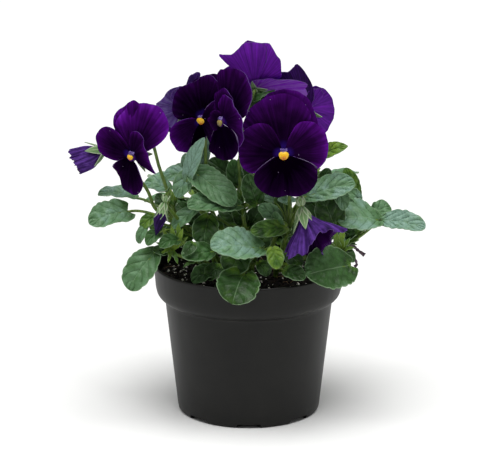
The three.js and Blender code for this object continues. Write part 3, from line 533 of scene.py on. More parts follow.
# Yellow eye: waxy cushion, brown-orange below its middle. Its UV is the flower's own right and up.
def eyeCushion(name, stops):
    material, tree, shader = newMaterial(name, {
        "Roughness": 0.42, "Specular IOR Level": 0.5, "Subsurface Weight": 0.15, "Subsurface Scale": 1 * mm,
    })
    flat = addNode(tree, "UVMap", uv_map="UVMap").outputs[0]
    dab = addNode(tree, "VectorMath", {0: flat, 1: (0.5, 0.14, 0)}, operation="SUBTRACT").outputs[0]
    near = addNode(tree, "VectorMath", {0: dab}, operation="LENGTH").outputs["Value"]
    colour = addNode(tree, "ValToRGB", {"Fac": near})
    tree.links.new(setRamp(colour, stops), shader.inputs["Base Color"])
    where = addNode(tree, "TexCoord").outputs["Object"]
    waxy = addNode(tree, "TexNoise", {"Vector": where, "Scale": 1 / (0.9 * mm), "Detail": 2.0})
    bump = addNode(tree, "Bump", {"Height": waxy.outputs["Fac"], "Strength": 0.3, "Distance": 0.2 * mm})
    tree.links.new(bump.outputs[0], shader.inputs["Normal"])
    return material


# One plain tone broken by fine noise, for perlite, fibres, hairs and withered parts
def speckled(name, dark, bright, grainSize, roughness):
    material, tree, shader = newMaterial(name, {"Roughness": roughness, "Specular IOR Level": 0.3})
    where = addNode(tree, "TexCoord").outputs["Object"]
    grain = addNode(tree, "TexNoise", {"Vector": where, "Scale": 1 / (grainSize * mm), "Detail": 3.0})
    colour = addNode(tree, "ValToRGB", {"Fac": grain.outputs["Fac"]})
    tree.links.new(setRamp(colour, [(0.35, dark), (0.65, bright)]), shader.inputs["Base Color"])
    bump = addNode(tree, "Bump", {"Height": grain.outputs["Fac"], "Strength": 0.4, "Distance": 0.2 * mm})
    tree.links.new(bump.outputs[0], shader.inputs["Normal"])
    return material


plastic = mouldedPolypropylene()
peat = dampPeat("dampPeat", "#080605", "#211712", 2.2)
# the near-black green at 0.42 is painted shade for inner leaves, the pale sage at 1 partly painted sky
# reflection
leafTonesAndShade = [(0.05, "#789632"), (0.28, "#42681f"), (0.42, "#1f3b12"), (0.62, "#385e2c"),
             (0.85, "#658a64"), (1.0, "#7c9d8c")]
underTones = [(0.1, "#9bb56a"), (0.5, "#86a276"), (0.95, "#9fb59c")]
leafSkins = [leafSkin("leafUpperSkin", leafTonesAndShade, "#3a5a30", "#93b088", True),
             leafSkin("leafLowerSkin", underTones, "#b7c9a6", "#c5d3b4", False)]
stemGreen = stemSkin()
sepalGreen = sepalSkin()
velvet = petalFace()
reverseTones = [(0.15, "#22073a"), (0.4, "#441270"), (0.62, "#64219a"), (0.82, "#8c28d0"), (1.0, "#a064d4")]
reverse = petalReverse("petalReverse", reverseTones, 0.62)
# faded and folding petals turn indigo
fadingTones = [(0.15, "#1a0b30"), (0.38, "#3a205f"), (0.58, "#583489"), (0.8, "#7a5aae"), (1.0, "#9184bf")]
fading = petalReverse("fadingPetal", fadingTones, 0.95)
petalEdgeAndHighlight = petalMarginAndHighlight()
eyeTones = [(0.05, "#b9690a"), (0.2, "#dd930e"), (0.36, "#ecb00f"), (0.55, "#f1c11f")]
yellow = eyeCushion("eyeCushion", eyeTones)
# a darker copy of the eye's yellow, painted shade for an eye that sits in shade
shadedEyeTones = [(0.05, "#4d3a18"), (0.2, "#6b5522"), (0.36, "#82702f"), (0.55, "#8e7c3a")]
shadedYellow = eyeCushion("shadedEyeCushion", shadedEyeTones)
perliteWhite = speckled("perlite", "#cfcac0", "#f4f1ea", 0.8, 0.85)
fibreBrown = speckled("peatFibre", "#4a3220", "#94785a", 1.2, 0.8)
beardViolet = speckled("beardHair", "#6e59a6", "#a891d0", 0.8, 0.5)
withered = speckled("witheredStalk", "#3b2a3f", "#6b5661", 1.5, 0.8)


print("pot")
pot = dict(height=95.5, rim=60, collarFoot=73, collar=53.2, foot=45, wall=1.6, channel=3, pad=24,
           ringInside=41.6, steps=144, notches=8, notchWidth=15, notchHeight=2.6, notchDepth=8,
           notchRound=0.8)


def roundedRun(corners, pieces=5):
    path = smoothPath([(r, 0, z) for r, z in corners])
    count = pieces * (len(corners) - 1)
    return [(path(i / count).x, path(i / count).z) for i in range(count + 1)]


def wallAt(z):
    return pot["foot"] + (pot["collar"] - pot["foot"]) / pot["collarFoot"] * z


# Outline of the wall in radius and height, outside from the axis up to the lip and back down inside
lip = [(pot["rim"] - 0.8 + 0.8 * math.cos(a), pot["height"] - 0.8 + 0.8 * math.sin(a))
       for a in (math.radians(d) for d in range(0, 181, 30))]
padEdge = [(pot["pad"] - 0.5, 0), (pot["pad"], 0.3)]
channel = [(26, 2.8), (26.5, pot["channel"]), (40.1, pot["channel"]), (40.5, 2.8)]
footRing = [(pot["ringInside"] - 0.2, 0.3), (pot["ringInside"] + 0.2, 0)]
footRing += [(43.4, 0), (44.2, 0.2), (44.7, 0.8)]
shoulder = roundedRun([(53.5, 73.1), (55.8, 74.4), (57.9, 77), (59, 81)])
collarOutside = [(59.35, 85.5), (59.7, 90), (60, 94.2)]
collarInside = [(58.4, 94.4), (57.4, 81)]
shoulderInside = roundedRun([(57.2, 79.8), (56.6, 77.6), (54.5, 75.6), (51.9, 74.5)], 3)
potOutline = [(0, 0)] + padEdge + channel + footRing
potOutline += [(wallAt(z), z) for z in (1.6, 8, 20, 34, 48, 62, 71, 72.6)]
potOutline += shoulder + collarOutside + lip + collarInside + shoulderInside
potOutline += [(51.6, 73.6), (wallAt(40) - pot["wall"], 40), (wallAt(4.6) - pot["wall"], 5.2)]
potOutline += [(wallAt(4.6) - 2.3, 4.6), (26.6, 4.6), (24.8, pot["wall"]), (0, pot["wall"])]
potShell = turnedPiece(potOutline, pot["steps"])

cutters = []
for i in range(pot["notches"]):
    turn = math.radians(-90 + 360 / pot["notches"] * i)
    clearSelection()
    bpy.ops.mesh.primitive_cube_add(size=1)
    cutter = bpy.context.object
    bpy.ops.object.mode_set(mode="EDIT")
    notch = (pot["notchDepth"] * mm, pot["notchWidth"] * mm, 2 * pot["notchHeight"] * mm)
    bpy.ops.transform.resize(value=notch)
    bpy.ops.mesh.bevel(offset=pot["notchRound"] * mm, segments=3, affect="EDGES")
    bpy.ops.object.mode_set(mode="OBJECT")
    cutter.data.transform(Matrix.Rotation(turn, 4, "Z") @ Matrix.Translation((pot["foot"] * mm, 0, 0)))
    cutters.append(cutter)
notchCutter = joinPieces(cutters, "notchCutter")
applyModifier(potShell, "BOOLEAN", operation="DIFFERENCE", object=notchCutter, solver="EXACT")
bpy.data.objects.remove(notchCutter)
potShell.name = "potShell"
potShell.data.materials.append(plastic)
pickOnly(potShell)
bpy.ops.object.shade_smooth_by_angle(angle=math.radians(32))
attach(potShell, "root")
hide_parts("pot")


print("compost")
soil = dict(top=89.5, edge=56.6, rings=46, steps=150, crumbs=1500, grains=320,
            fibres=40, fibreLength=(4, 13), fibreRadius=0.22)
# the surface's lumps from coarse to fine: size, height and layer of the noise
soilLumps = ((14, 1.6, 3), (5, 0.9, 9), (1.8, 0.55, 5))
random.seed(7)


# The surface slopes down a little at the pot's wall
def soilHeight(x, y):
    lumps = sum(height * noise.noise(Vector((x, y, layer)) / size) for size, height, layer in soilLumps)
    return soil["top"] + lumps - (math.hypot(x, y) / soil["edge"]) ** 6


soilOutline = [(soil["edge"] * i / soil["rings"], soil["top"]) for i in range(soil["rings"] + 1)]
# down along the collar, the shoulder and the wall to the floor
soilOutline += [(soil["edge"], 81.6), (55.2, 77.8), (51, 74), (43, 6), (42.6, 5.4), (0, 5.4)]
compost = turnedPiece(soilOutline, soil["steps"])
for vertex in compost.data.vertices:
    if vertex.co.z > 85 * mm:
        x, y = vertex.co.x / mm, vertex.co.y / mm
        vertex.co.z = soilHeight(x, y) * mm


# Small lumps scattered on the compost, each a squashed and dented ball with its own mesh
def scatterLumps(name, count, sizes, material, reach, sunk):
    clearSelection()
    bpy.ops.mesh.primitive_ico_sphere_add(subdivisions=1, radius=1)
    ball = bpy.context.object
    ball.data.materials.append(material)
    lumps = []
    for _ in range(count):
        lump = ball.copy()
        lump.data = ball.data.copy()
        bpy.context.collection.objects.link(lump)
        turn, out = random.uniform(0, 2 * math.pi), reach * math.sqrt(random.random())
        size = random.uniform(*sizes)
        x, y = out * math.cos(turn), out * math.sin(turn)
        squash = [size * random.uniform(0.6, 1.2) for _ in range(3)]
        spin = Matrix.Rotation(random.uniform(0, 3), 3, Vector((random.random(), random.random(), 0.2)))
        centre = Vector((x, y, soilHeight(x, y) + sunk * size))
        for vertex in lump.data.vertices:
            dented = Vector(c * s for c, s in zip(vertex.co, squash)) * random.uniform(0.75, 1.15)
            vertex.co = (centre + spin @ dented) * mm
        lumps.append(lump)
    bpy.data.objects.remove(ball)
    return joinPieces(lumps, name)


crumbs = scatterLumps("crumbs", soil["crumbs"], (0.5, 1.5), peat, 56, 0.1)
compost.data.materials.append(peat)
compostFill = joinPieces([compost, crumbs], "compostFill")
finishPiece(compostFill, "compost", "compost")
perlite = scatterLumps("perliteGrains", soil["grains"], (0.35, 1.2), perliteWhite, 55, 0.35)
finishPiece(perlite, "compost")

fibreStrands = []
for _ in range(soil["fibres"]):
    turn, out = random.uniform(0, 2 * math.pi), 55 * math.sqrt(random.random())
    x, y = out * math.cos(turn), out * math.sin(turn)
    heading, bend = random.uniform(0, 2 * math.pi), random.uniform(-1.2, 1.2)
    length = random.uniform(*soil["fibreLength"])
    strand = []
    for i in range(7):
        height = soilHeight(x, y) + 0.5 + 0.8 * math.sin(math.pi * i / 6)
        strand.append((Vector((x, y, height)), soil["fibreRadius"] * (1 - abs(i - 3) / 5)))
        heading += bend / 6
        x, y = x + length / 6 * math.cos(heading), y + length / 6 * math.sin(heading)
        if math.hypot(x, y) > 56:
            x, y = x * 0.96, y * 0.96
    fibreStrands.append(strand)
fibres = tubes("peatFibres", fibreStrands, fibreBrown, 1)
finishPiece(fibres, "compost")


print("plant: unit sheets")
leafSheet = unitSheet("leafSheet", 56, 20, (0, 1), leafSkins, 1.2)
smallLeafSheet = unitSheet("smallLeafSheet", 26, 10, (0, 1), leafSkins, 1.2)
stipuleSheet = unitSheet("stipuleSheet", 18, 6, (0, 1), leafSkins)
sepalSheet = unitSheet("sepalSheet", 14, 6, (0, 1), [sepalGreen])
petalSheet = unitSheet("petalSheet", 22, 30, (0,), [velvet, reverse, petalEdgeAndHighlight])


# The CAD's shoots: foot on the compost, stem points, and leaves as (place along the shoot, base, tip,
# width, face, tone) and, for a leaf of another outline, its own lean and roundness. The leaves stand a few
# millimetres off the CAD's, where the photo asks for it. A shoot without a list has its leaves in a fan.
shoots = {
    "shoot_left": dict(foot=(-16, -2), stem=[(-25, -5, 106), (-42, -8, 122), (-48, -7, 134)], leaves=[
        (0.6, (-76, -8, 130.7), (-99.5, -20, 126.3), 20.5, (0.1, -0.6, 0.8), 0.84, 0.64, 0.46),
        (0.72, (-71, 6, 136), (-95, 2, 139.3), 14, (0, -0.3, 1), 0.93),
        (0.6, (-57.5, -20, 131), (-67, -26, 125), 9, (-0.4, -0.8, 0.3), 0.25),
        (0.45, (-55, -30, 123), (-63, -37, 118), 9, (0, -0.7, 0.7), 0.62),
        (0.97, (-50, 10, 140), (-67, 13, 143.5), 14, (0, -0.5, 0.9), 0.9)]),
    "shoot_left_low": dict(foot=(-17, -15), stem=[(-24, -22, 99), (-34, -26, 104)], leaves=[
        (0.95, (-58, -31, 111), (-74.5, -39, 89), 20.5, (-0.3, -0.9, 0.5), 0.74),
        (0.8, (-44, -30, 118), (-55, -38, 117), 10, (0, -0.7, 0.7), 0.6),
        (0.5, (-23, -38, 113), (-41, -46, 113), 15, (0, -0.7, 0.7), 0.6)]),
    "shoot_mid_left": dict(foot=(-8, 3), stem=[(-14, 0, 108), (-24, -3, 132), (-31, -4, 150)], leaves=[
        (0.95, (-38, 20, 149), (-54, 19, 146), 14, (0, -0.5, 0.8), 0.93),
        (0.98, (-32, 2, 157), (-26, -2, 177), 12, (0, -0.9, 0.2), 0.98),
        (0.85, (-35, -8, 158), (-45, -17, 143), 13, (-0.3, -0.8, 0.5), 0.9),
        (0.9, (-36, -10, 158), (-9, -31, 142), 20, (0.1, -0.75, 0.65), 0.78),
        (0.35, (-18, -6, 118), (-31, -1, 124), 14, (0, -0.7, 0.7), 0.45),
        (0.5, (-32, -14, 134), (-47, -21, 122), 12, (-0.4, -0.6, 0.7), 0.8)]),
    "shoot_centre": dict(foot=(1, -4), stem=[(0, -8, 106), (-3, -13, 126), (-4, -15, 138)], leaves=[
        (0.8, (-6, -22, 138), (-38, -33, 141), 19, (0, -0.5, 0.85), 0.72),
        (0.9, (5, -27, 141), (-1, -33, 161), 14, (0, -0.95, 0.3), 0.5),
        (1, (-7, -8, 147), (-10, -11, 165), 11, (0, -1, 0.2), 0.6),
        (0.5, (-25, -25, 132), (-28, -35, 116), 17, (0, -0.85, 0.5), 0.42)]),
    "shoot_front": dict(foot=(2, -22), stem=[(2, -28, 99), (3, -33, 107)], leaves=[
        (0.95, (7, -44, 117), (-23, -57, 122.7), 25, (0.05, -0.6, 0.8), 0.92),
        (0.8, (-3.5, -51, 102), (-10, -68, 89), 27.5, (0, -0.85, 0.55), 0.44, 0.95, 0.42),
        (0.6, (-5, -40, 115), (-11, -50, 102), 19, (0, -0.8, 0.6), 0.4),
        (0.9, (14.5, -47, 118), (17.3, -56, 108), 11, (0, -0.85, 0.5), 0.2),
        (0.3, (-21, -32, 100), (-35, -40, 95), 13, (0, -0.6, 0.8), 0.5)]),
    "shoot_front_right": dict(foot=(17, -12), stem=[(20, -18, 104), (24, -25, 122)], leaves=[
        (0.9, (23, -35, 128), (1, -44, 128), 11.5, (0, -0.95, 0.3), 0.32),
        (1, (19, -30, 130), (6, -36, 142), 11, (-0.2, -0.8, 0.6), 0.8),
        (0.4, (22, -49, 104), (34, -57, 102), 11, (0, -0.7, 0.7), 0.45),
        (0.9, (19, -32, 128), (16, -39, 138), 8, (-0.2, -0.8, 0.6), 0.75),
        (0.5, (32, -16, 113), (23, -22, 125), 13, (0.2, -0.9, 0.4), 0.42)]),
    "shoot_right": dict(foot=(21, 0), stem=[(33, -6, 99), (48, -8, 101), (60, -5, 107)], leaves=[
        (0.8, (62.5, -30, 102), (35, -53, 102.7), 30.5, (0.1, -0.8, 0.6), 0.57),
        (1, (81, 0, 123), (55, -9, 127), 26, (0, -0.6, 0.8), 0.9, 1.15, 0.42),
        (0.98, (83, 4, 122), (111, -6, 120), 16, (0, -0.6, 0.8), 1),
        (0.95, (78, 10, 124), (90, 14, 129), 12, (0, -0.7, 0.7), 0.75),
        (0.6, (55, -17, 108), (66, -22, 103), 10, (0.3, -0.6, 0.8), 0.5),
        (0.7, (54, -9, 121), (46, -10, 142), 20, (0.2, -0.95, 0.2), 0.42)]),
    "shoot_right_high": dict(foot=(12, 9), stem=[(18, 8, 112), (32, 5, 134), (38, 4, 146)], leaves=[
        (0.8, (35, -15, 142), (66, -11, 151), 18, (0, -0.7, 0.7), 0.93),
        (0.9, (53, -4, 144), (60, -13, 134), 11, (0.3, -0.8, 0.5), 0.85),
        (0.75, (68, 14, 130), (61, 12, 154), 11, (0.3, -0.9, 0.3), 0.28),
        (0.9, (32, -4, 144), (21, -7, 154), 12, (0, -0.95, 0.2), 0.5),
        (1, (46, -6, 167), (61.5, -12, 174), 10, (-0.1, -0.8, 0.6), 0.12, 0.72, 0.8)]),
    "shoot_back_left": dict(foot=(-13, 17), stem=[(-22, 24, 106), (-33, 30, 128)], outwards=144, seed=11),
    "shoot_back": dict(foot=(2, 21), stem=[(2, 30, 112), (3, 36, 138)], outwards=90, seed=29),
    "shoot_back_right": dict(foot=(18, 19), stem=[(28, 26, 106), (38, 30, 128)], outwards=38, seed=43),
}
fan = dict(leaves=5, spread=46, scatter=24, petiole=(12, 22), rise=12, blade=(25, 31), drop=(-4, 11),
           width=(15, 19), tone=0.4)
# the inner fan's low tone gives its leaves painted shade for the inside of the bush
innerFan = dict(leaves=8, spread=80, scatter=60, petiole=(5, 13), rise=4, blade=(11, 17), drop=(-6, 6),
                width=(9, 13), tone=0.3)
# Small inner leaves that fill the bush, listed as above. Most have tones near 0.4, painted shade for the
# inside of the bush.
innerLeaves = {
    "shoot_left": [
        (0.97, (-49, 2, 127), (-58, 5, 139), 9, (-0.2, -0.9, 0.4), 0.45),
        (0.6, (-63, -24, 127), (-69, -28, 116), 7, (-0.5, -0.8, 0.3), 0.72),
        (0.5, (-46, -6, 122), (-53, -12, 112), 9, (0, -0.9, 0.4), 0.4)],
    "shoot_left_low": [
        (0.8, (-51, -30, 111), (-59, -34, 114), 7, (0, -0.8, 0.5), 0.45),
        (0.5, (-54, -12, 121), (-62, -14, 123), 7, (0, -0.8, 0.5), 0.4),
        (0.6, (-34, -44, 120), (-39, -49, 115), 8, (0, -0.8, 0.6), 0.5),
        (0.3, (-37, -8, 120), (-44, -14, 110), 12, (0, -0.9, 0.4), 0.38)],
    "shoot_mid_left": [
        (0.9, (-38.5, -15, 152), (-27.5, -18, 181), 11, (-0.4, -0.8, 0.35), 1, 0.8, 0.75),
        (0.95, (-37, 10, 156), (-40, 8, 164), 9, (0, -0.9, 0.3), 0.9),
        (0.6, (-37, 4, 123), (-45, 8, 132), 10, (0, -0.9, 0.4), 0.45),
        (0.5, (-32, 4, 118), (-39, 6, 129), 10, (0, -0.9, 0.3), 0.5),
        (0.3, (-21, -10, 111), (-27, -8, 120), 12, (0, -0.8, 0.5), 0.38)],
    "shoot_centre": [
        (0.6, (-8, 6, 120), (-18, 8, 130), 13, (0, -0.8, 0.5), 0.42),
        (0.4, (-17, 10, 117), (-11, 10, 128), 12, (0, -0.8, 0.5), 0.4),
        (0.9, (-10, 6, 149), (-25, 4, 161), 14, (0, -0.9, 0.4), 0.42),
        (0.9, (-4, 4, 148), (-4, 4, 163), 11, (0, -0.95, 0.3), 0.45),
        (0.6, (1, -4, 120), (8, -8, 134), 12, (0, -0.9, 0.4), 0.45),
        (0.6, (-4, -6, 122), (-8, -6, 135), 10, (0, -0.9, 0.3), 0.42),
        (0.3, (-8, -16, 109), (-17, -14, 119), 13, (0, -0.8, 0.5), 0.38),
        (0.3, (5, -18, 109), (12, -18, 120), 12, (0, -0.8, 0.5), 0.4)],
    "shoot_front": [
        (0.3, (-17, -34, 102), (-26, -40, 96), 11, (0, -0.7, 0.7), 0.42),
        (0.6, (6, -44, 108), (12, -48, 101), 9, (0, -0.8, 0.6), 0.42)],
    "shoot_front_right": [
        (0.95, (18, -2, 125), (22, -4, 141), 13, (0, -0.9, 0.3), 0.42),
        (1, (15, -22, 141), (8, -26, 144), 5, (0, -0.7, 0.7), 0.93),
        (1, (22, -24, 141), (29, -30, 144), 5, (0, -0.7, 0.7), 0.93),
        (1, (26, -22, 138), (18, -28, 144), 5, (0, -0.8, 0.6), 0.9),
        (0.5, (24, -30, 111), (32, -38, 104), 11, (0, -0.8, 0.6), 0.4)],
    "shoot_right": [
        (0.9, (69, 0, 115), (59, 0, 120), 9, (0, -0.8, 0.5), 0.4),
        (0.9, (65, 4, 106), (60, 4, 115), 9, (0, -0.8, 0.5), 0.34),
        (0.5, (51, -8, 114), (60, -14, 114), 6, (0, -0.7, 0.7), 0.85),
        (0.6, (54, 4, 112), (60, 6, 120), 9, (0, -0.9, 0.4), 0.3),
        (0.3, (44, -4, 105), (35, -4, 114), 13, (0, -0.9, 0.4), 0.4),
        (0.4, (51, -12, 103), (43, -16, 110), 11, (0, -0.8, 0.5), 0.4)],
    "shoot_right_high": [
        (0.9, (45, 0, 145), (50, -2, 157), 9, (0.1, -0.9, 0.4), 0.4),
        (0.9, (53, -2, 146), (56, -4, 156), 9, (0.1, -0.9, 0.4), 0.85),
        (0.9, (70, 6, 134), (62, 4, 142), 8, (0, -0.8, 0.5), 0.85),
        (0.6, (46, 2, 127), (36, 0, 137), 13, (0, -0.9, 0.4), 0.4)],
}

# Leafy stipules crowded round a node, as (root, tip, tone)
tufts = {
    "shoot_back": [
        ((2, -4, 196), (9.5, -6, 209), 0.42),
        ((1.5, -5, 201), (12.5, -7, 207.5), 0.62),
        ((1, -2, 197), (16, -4, 208), 0.55),
        ((2, -2, 195), (12, -5, 205), 0.5),
        ((1, -2, 193), (5, -4, 205), 0.5),
        ((1, -2, 193), (8, -6, 202), 0.42)],
    "shoot_left_low": [
        ((-47, -26, 111), (-53, -30, 125), 0.1),
        ((-46, -26, 111), (-48, -28, 127), 0.16),
        ((-45, -26, 112), (-41, -27, 125), 0.08),
        ((-48, -28, 112), (-57, -34, 118), 0.2),
        ((-45, -24, 112), (-38, -24, 119), 0.1),
        ((-43, -24, 114), (-44, -24, 128), 0.2),
        ((-48, -30, 112), (-50, -36, 106), 0.14),
        ((-47, -30, 112), (-44, -36, 105), 0.2),
        ((-49, -30, 113), (-55, -36, 111), 0.12)],
    "shoot_right": [
        ((56, -16, 107), (59, -22, 124), 0.1),
        ((55, -16, 107), (54, -24, 123), 0.14),
        ((57, -16, 107), (63, -20, 117), 0.16),
        ((53, -18, 107), (47, -26, 120), 0.2),
        ((51, -18, 109), (42, -26, 114), 0.22),
        ((57, -16, 108), (66, -20, 111), 0.2)],
}

# Blooms, each on its shoot, with the petals in which they differ from openPetals. rays gives a petal's own
# margin: angle and reach in mm, in the flower's plane. lighter lifts all petals, partly as painted light
# and shade, and eye scales the eye.
blooms = {
    "bloom_left": dict(
        shoot="shoot_left", start=0.95, stalk=[(-51, -7, 144), (-56, -8, 160), (-61, -10, 178)],
        throat=(-72, -24, 170.5), facing=(-0.5, -0.86, 0), up=(0.25, 0, 1),
        size=0.9, lighter=0.08, eye=0.66,
        upperRight=dict(axis=74, layer=-1.2, light=0.33, rays=[
            (34, 11), (38, 18), (42, 24), (46, 28), (51, 31.2), (57, 33.4), (64, 35), (72, 36), (80, 36),
            (88, 34.8), (95, 33.2), (103, 32), (112, 30.2), (122, 27.6), (132, 24.6), (142, 20.5),
            (150, 12)]),
        upperLeft=dict(axis=116, layer=-2.6, rays=[
            (72, 12), (82, 23), (90, 30), (97, 32.8), (103, 34.2), (108, 33.6), (114, 32), (122, 30.2),
            (130, 29), (138, 27), (145, 23.4), (150, 15), (154, 9)]),
        left=dict(axis=176, rays=[
            (134, 8), (137, 15), (141, 20.6), (150, 25.1), (161, 27.1), (172, 27.8), (183, 25.6),
            (193, 22.6), (203, 18.4), (212, 13.2), (218, 7.7)]),
        right=dict(axis=30, lift=16, light=0.1, rays=[
            (-21, 8), (-16, 14), (-11, 21), (-7, 20), (0, 17.8), (12, 15.4), (46, 14.2), (64, 17.1),
            (79, 17.6), (94, 16.6), (107, 14.1), (118, 8)]),
        lower=dict(axis=-86, rays=[
            (-148, 8), (-141, 15), (-128, 15.5), (-111, 16.4), (-99, 20.4), (-85, 22.6), (-72, 24.7),
            (-62, 23), (-50, 18), (-45, 12), (-40, 6.5)])),
    "bloom_mid_left": dict(
        shoot="shoot_mid_left", start=0.8, stalk=[(-27, -5, 165), (-27, -3, 190)],
        throat=(-29, -11, 191), facing=(-0.3, -0.9, -0.2), up=(-0.15, 0, 1),
        size=0.78, lighter=-0.1, eye=0.9,
        left=dict(axis=214, light=0.42, rays=[
            (171, 7), (177, 13), (184, 17.5), (193, 22.5), (206, 27), (218, 28), (226, 27.8), (236, 26.4),
            (245, 24.1), (254, 18.1), (262, 11)]),
        right=dict(axis=-15, layer=2.6, lift=0, rays=[
            (-84, 9), (-80, 17), (-70, 15.5), (-47, 11.5), (-3, 10), (30, 13.2), (44, 18), (52, 14),
            (58, 8)]),
        upperRight=dict(axis=76, rays=[
            (36, 10), (43, 20), (48, 25.6), (53, 28.8), (61, 29.6), (70, 29.3), (82, 26.5), (98, 23),
            (112, 18)]),
        upperLeft=dict(axis=112, rays=[
            (40, 10), (47, 19), (54, 26), (63, 29), (72, 29.2), (82, 26.4), (96, 23.5), (116, 23.8),
            (130, 22.8), (153, 20.8), (176, 18.3), (186, 10)]),
        lower=dict(axis=-106, rays=[
            (-128, 12), (-124, 19), (-120, 23), (-110, 25.2), (-104, 21), (-99, 17), (-90, 13), (-76, 9)])),
    "bloom_mid": dict(
        shoot="shoot_centre", start=0.9, stalk=[(-6, -12, 160), (-4, -20, 184)],
        throat=(-16, -33, 194), facing=(-0.84, -0.54, 0.05), up=(0.1, 0.2, 1),
        size=0.9, lighter=-0.08, eye=0.8, shadedEye=True,
        left=dict(reach=12, lift=25),
        upperLeft=dict(reach=23, spread=54, axis=105),
        upperRight=dict(axis=66, rays=[
            (8, 11), (15, 20.9), (23, 24.4), (33, 28), (42, 32.2), (52, 34.1), (66, 34.1), (85, 32.8),
            (100, 32.6), (110, 33), (117, 29.5), (122, 18)]),
        right=dict(axis=10, rays=[
            (-58, 9), (-50, 17), (-40, 22), (-30, 24), (-15, 24.6), (-3, 24.4), (12, 21.8), (28, 18.2),
            (54, 17.7), (78, 17.4), (100, 15.5), (118, 10)]),
        lower=dict(axis=-86, rays=[
            (-152, 7), (-143, 15), (-133, 20.5), (-121, 22.8), (-105, 23), (-80, 23.1), (-56, 25),
            (-40, 24.4), (-26, 20), (-18, 12)])),
    "bloom_front": dict(
        shoot="shoot_front_right", start=0.95, stalk=[(25, -32, 145), (22, -38, 172)],
        throat=(21, -48, 177), facing=(0, -0.97, 0.2), up=(0, 0, 1),
        size=1,
        upperRight=dict(axis=74, rays=[
            (22, 16), (29, 26.5), (42, 28.5), (56, 33), (68, 37.6), (77, 39.6), (86, 40.2), (98, 39),
            (108, 37), (120, 31), (130, 22)]),
        upperLeft=dict(axis=102, rays=[
            (46, 15), (51, 26), (62, 31.6), (72, 35), (84, 36.8), (98, 36.8), (110, 36.3), (123, 35.3),
            (137, 32.2), (149, 28), (157, 17)]),
        left=dict(axis=170, rays=[
            (108, 9), (113, 17), (119, 21.5), (128, 24.6), (139, 26.9), (149, 28), (161, 28.2),
            (175, 27.9), (187, 27.2), (200, 25.4), (210, 22), (217, 16), (221, 9)]),
        right=dict(axis=14, rays=[
            (-38, 9), (-33, 16), (-25, 21.6), (-12, 24.6), (2, 26.8), (16, 28.2), (27, 28.7), (37, 27.9),
            (49, 26.6), (58, 24.3), (67, 20), (73, 11)]),
        lower=dict(axis=-88, lift=4, layer=2, rays=[
            (-166, 6), (-158, 11), (-153, 16.5), (-147, 21), (-139, 23.8), (-126, 25.3), (-113, 26.1),
            (-98, 26.2), (-86, 24.8), (-74, 26.1), (-61, 26.9), (-48, 26.6), (-35, 25.3), (-27, 23),
            (-19, 21), (-14, 13), (-8, 6)])),
    "bloom_top": dict(
        shoot="shoot_back", start=0.9, stalk=[(1, 12, 165), (-1, -3, 192)],
        throat=(4, 2, 209), facing=(0.1, 0.9, 0.35), up=(-0.1, 0, 1),
        size=0.82, sepals=-24, lighter=0.24,
        upperLeft=dict(axis=120, lift=0, light=0.3, rays=[
            (78, 22), (86, 32.5), (95, 34), (103, 33.8), (111, 34.3), (117, 32), (126, 28.2), (132, 27.4),
            (139, 24.6), (148, 21.2), (160, 18.5), (168, 10)]),
        upperRight=dict(axis=74, lift=0, light=0.26, rays=[
            (52, 9), (53, 19), (53, 25.5), (53.5, 31), (55.5, 31.9), (58.5, 30.6), (64, 29.2), (71, 29),
            (78, 30.2), (85, 32.8), (91, 34.2), (100, 34.2), (110, 32), (117, 22)]),
        left=dict(axis=184, light=0.56, layer=-3.4, lift=0, fold=(1, 72), rays=[
            (58, 5), (72, 6), (100, 7), (130, 9.5), (150, 14), (162, 20), (170, 27.5), (176, 32.5),
            (181, 32.6), (187, 29), (196, 27), (208, 22), (220, 15), (230, 8)]),
        lower=dict(axis=-158, light=0.78, rays=[
            (-181, 12), (-174, 26), (-169, 31.5), (-163, 33), (-157, 31), (-149, 25), (-142, 15),
            (-134, 7)])),
    "bloom_rear_right": dict(
        shoot="shoot_back_right", start=0.9, stalk=[(42, 20, 160), (41, 14, 184)],
        throat=(37, 24, 190), facing=(-0.3, 0.85, 0.35), up=(0.1, 0, 1),
        size=0.68, sepals=-55, lighter=0.17,
        upperRight=dict(axis=62, light=-0.25, lift=0, rays=[
            (32, 11), (37, 28), (41, 35), (45, 39.5), (49, 38.6), (54, 36.4), (59, 36.6), (63, 38.2),
            (66, 37.4), (70, 32), (76, 25), (86, 17), (96, 9)]),
        upperLeft=dict(axis=96, reach=24, spread=40),
        left=dict(axis=165, light=0.24, rays=[
            (76, 8), (84, 14), (92, 16.4), (104, 17), (125, 16.8), (148, 17), (173, 18.1), (201, 21.8),
            (215, 23.6), (230, 24.2), (241, 18.1), (248, 9)])),
    "bloom_rear_left": dict(
        shoot="shoot_back_left", start=0.9, stalk=[(-26, 18, 152), (-34, 6, 180)],
        throat=(-42, 14, 192), facing=(-0.4, 0.85, 0.2), up=(0, 0, 1),
        size=0.7, lighter=0.32, faded=True,
        upperRight=dict(reach=26, spread=40),
        upperLeft=dict(axis=102, light=0, rays=[
            (86, 8), (91, 18), (95, 23.5), (101, 24.6), (110, 26.3), (114, 22), (117, 15), (120, 8)]),
        right=dict(axis=2, light=0.36, rays=[
            (-86, 7), (-66, 13.5), (-36, 14.2), (-8, 13.4), (6, 15.8), (14, 18.6), (22, 17.8), (36, 15.4),
            (50, 17), (66, 16.6), (80, 15), (90, 8)])),
}
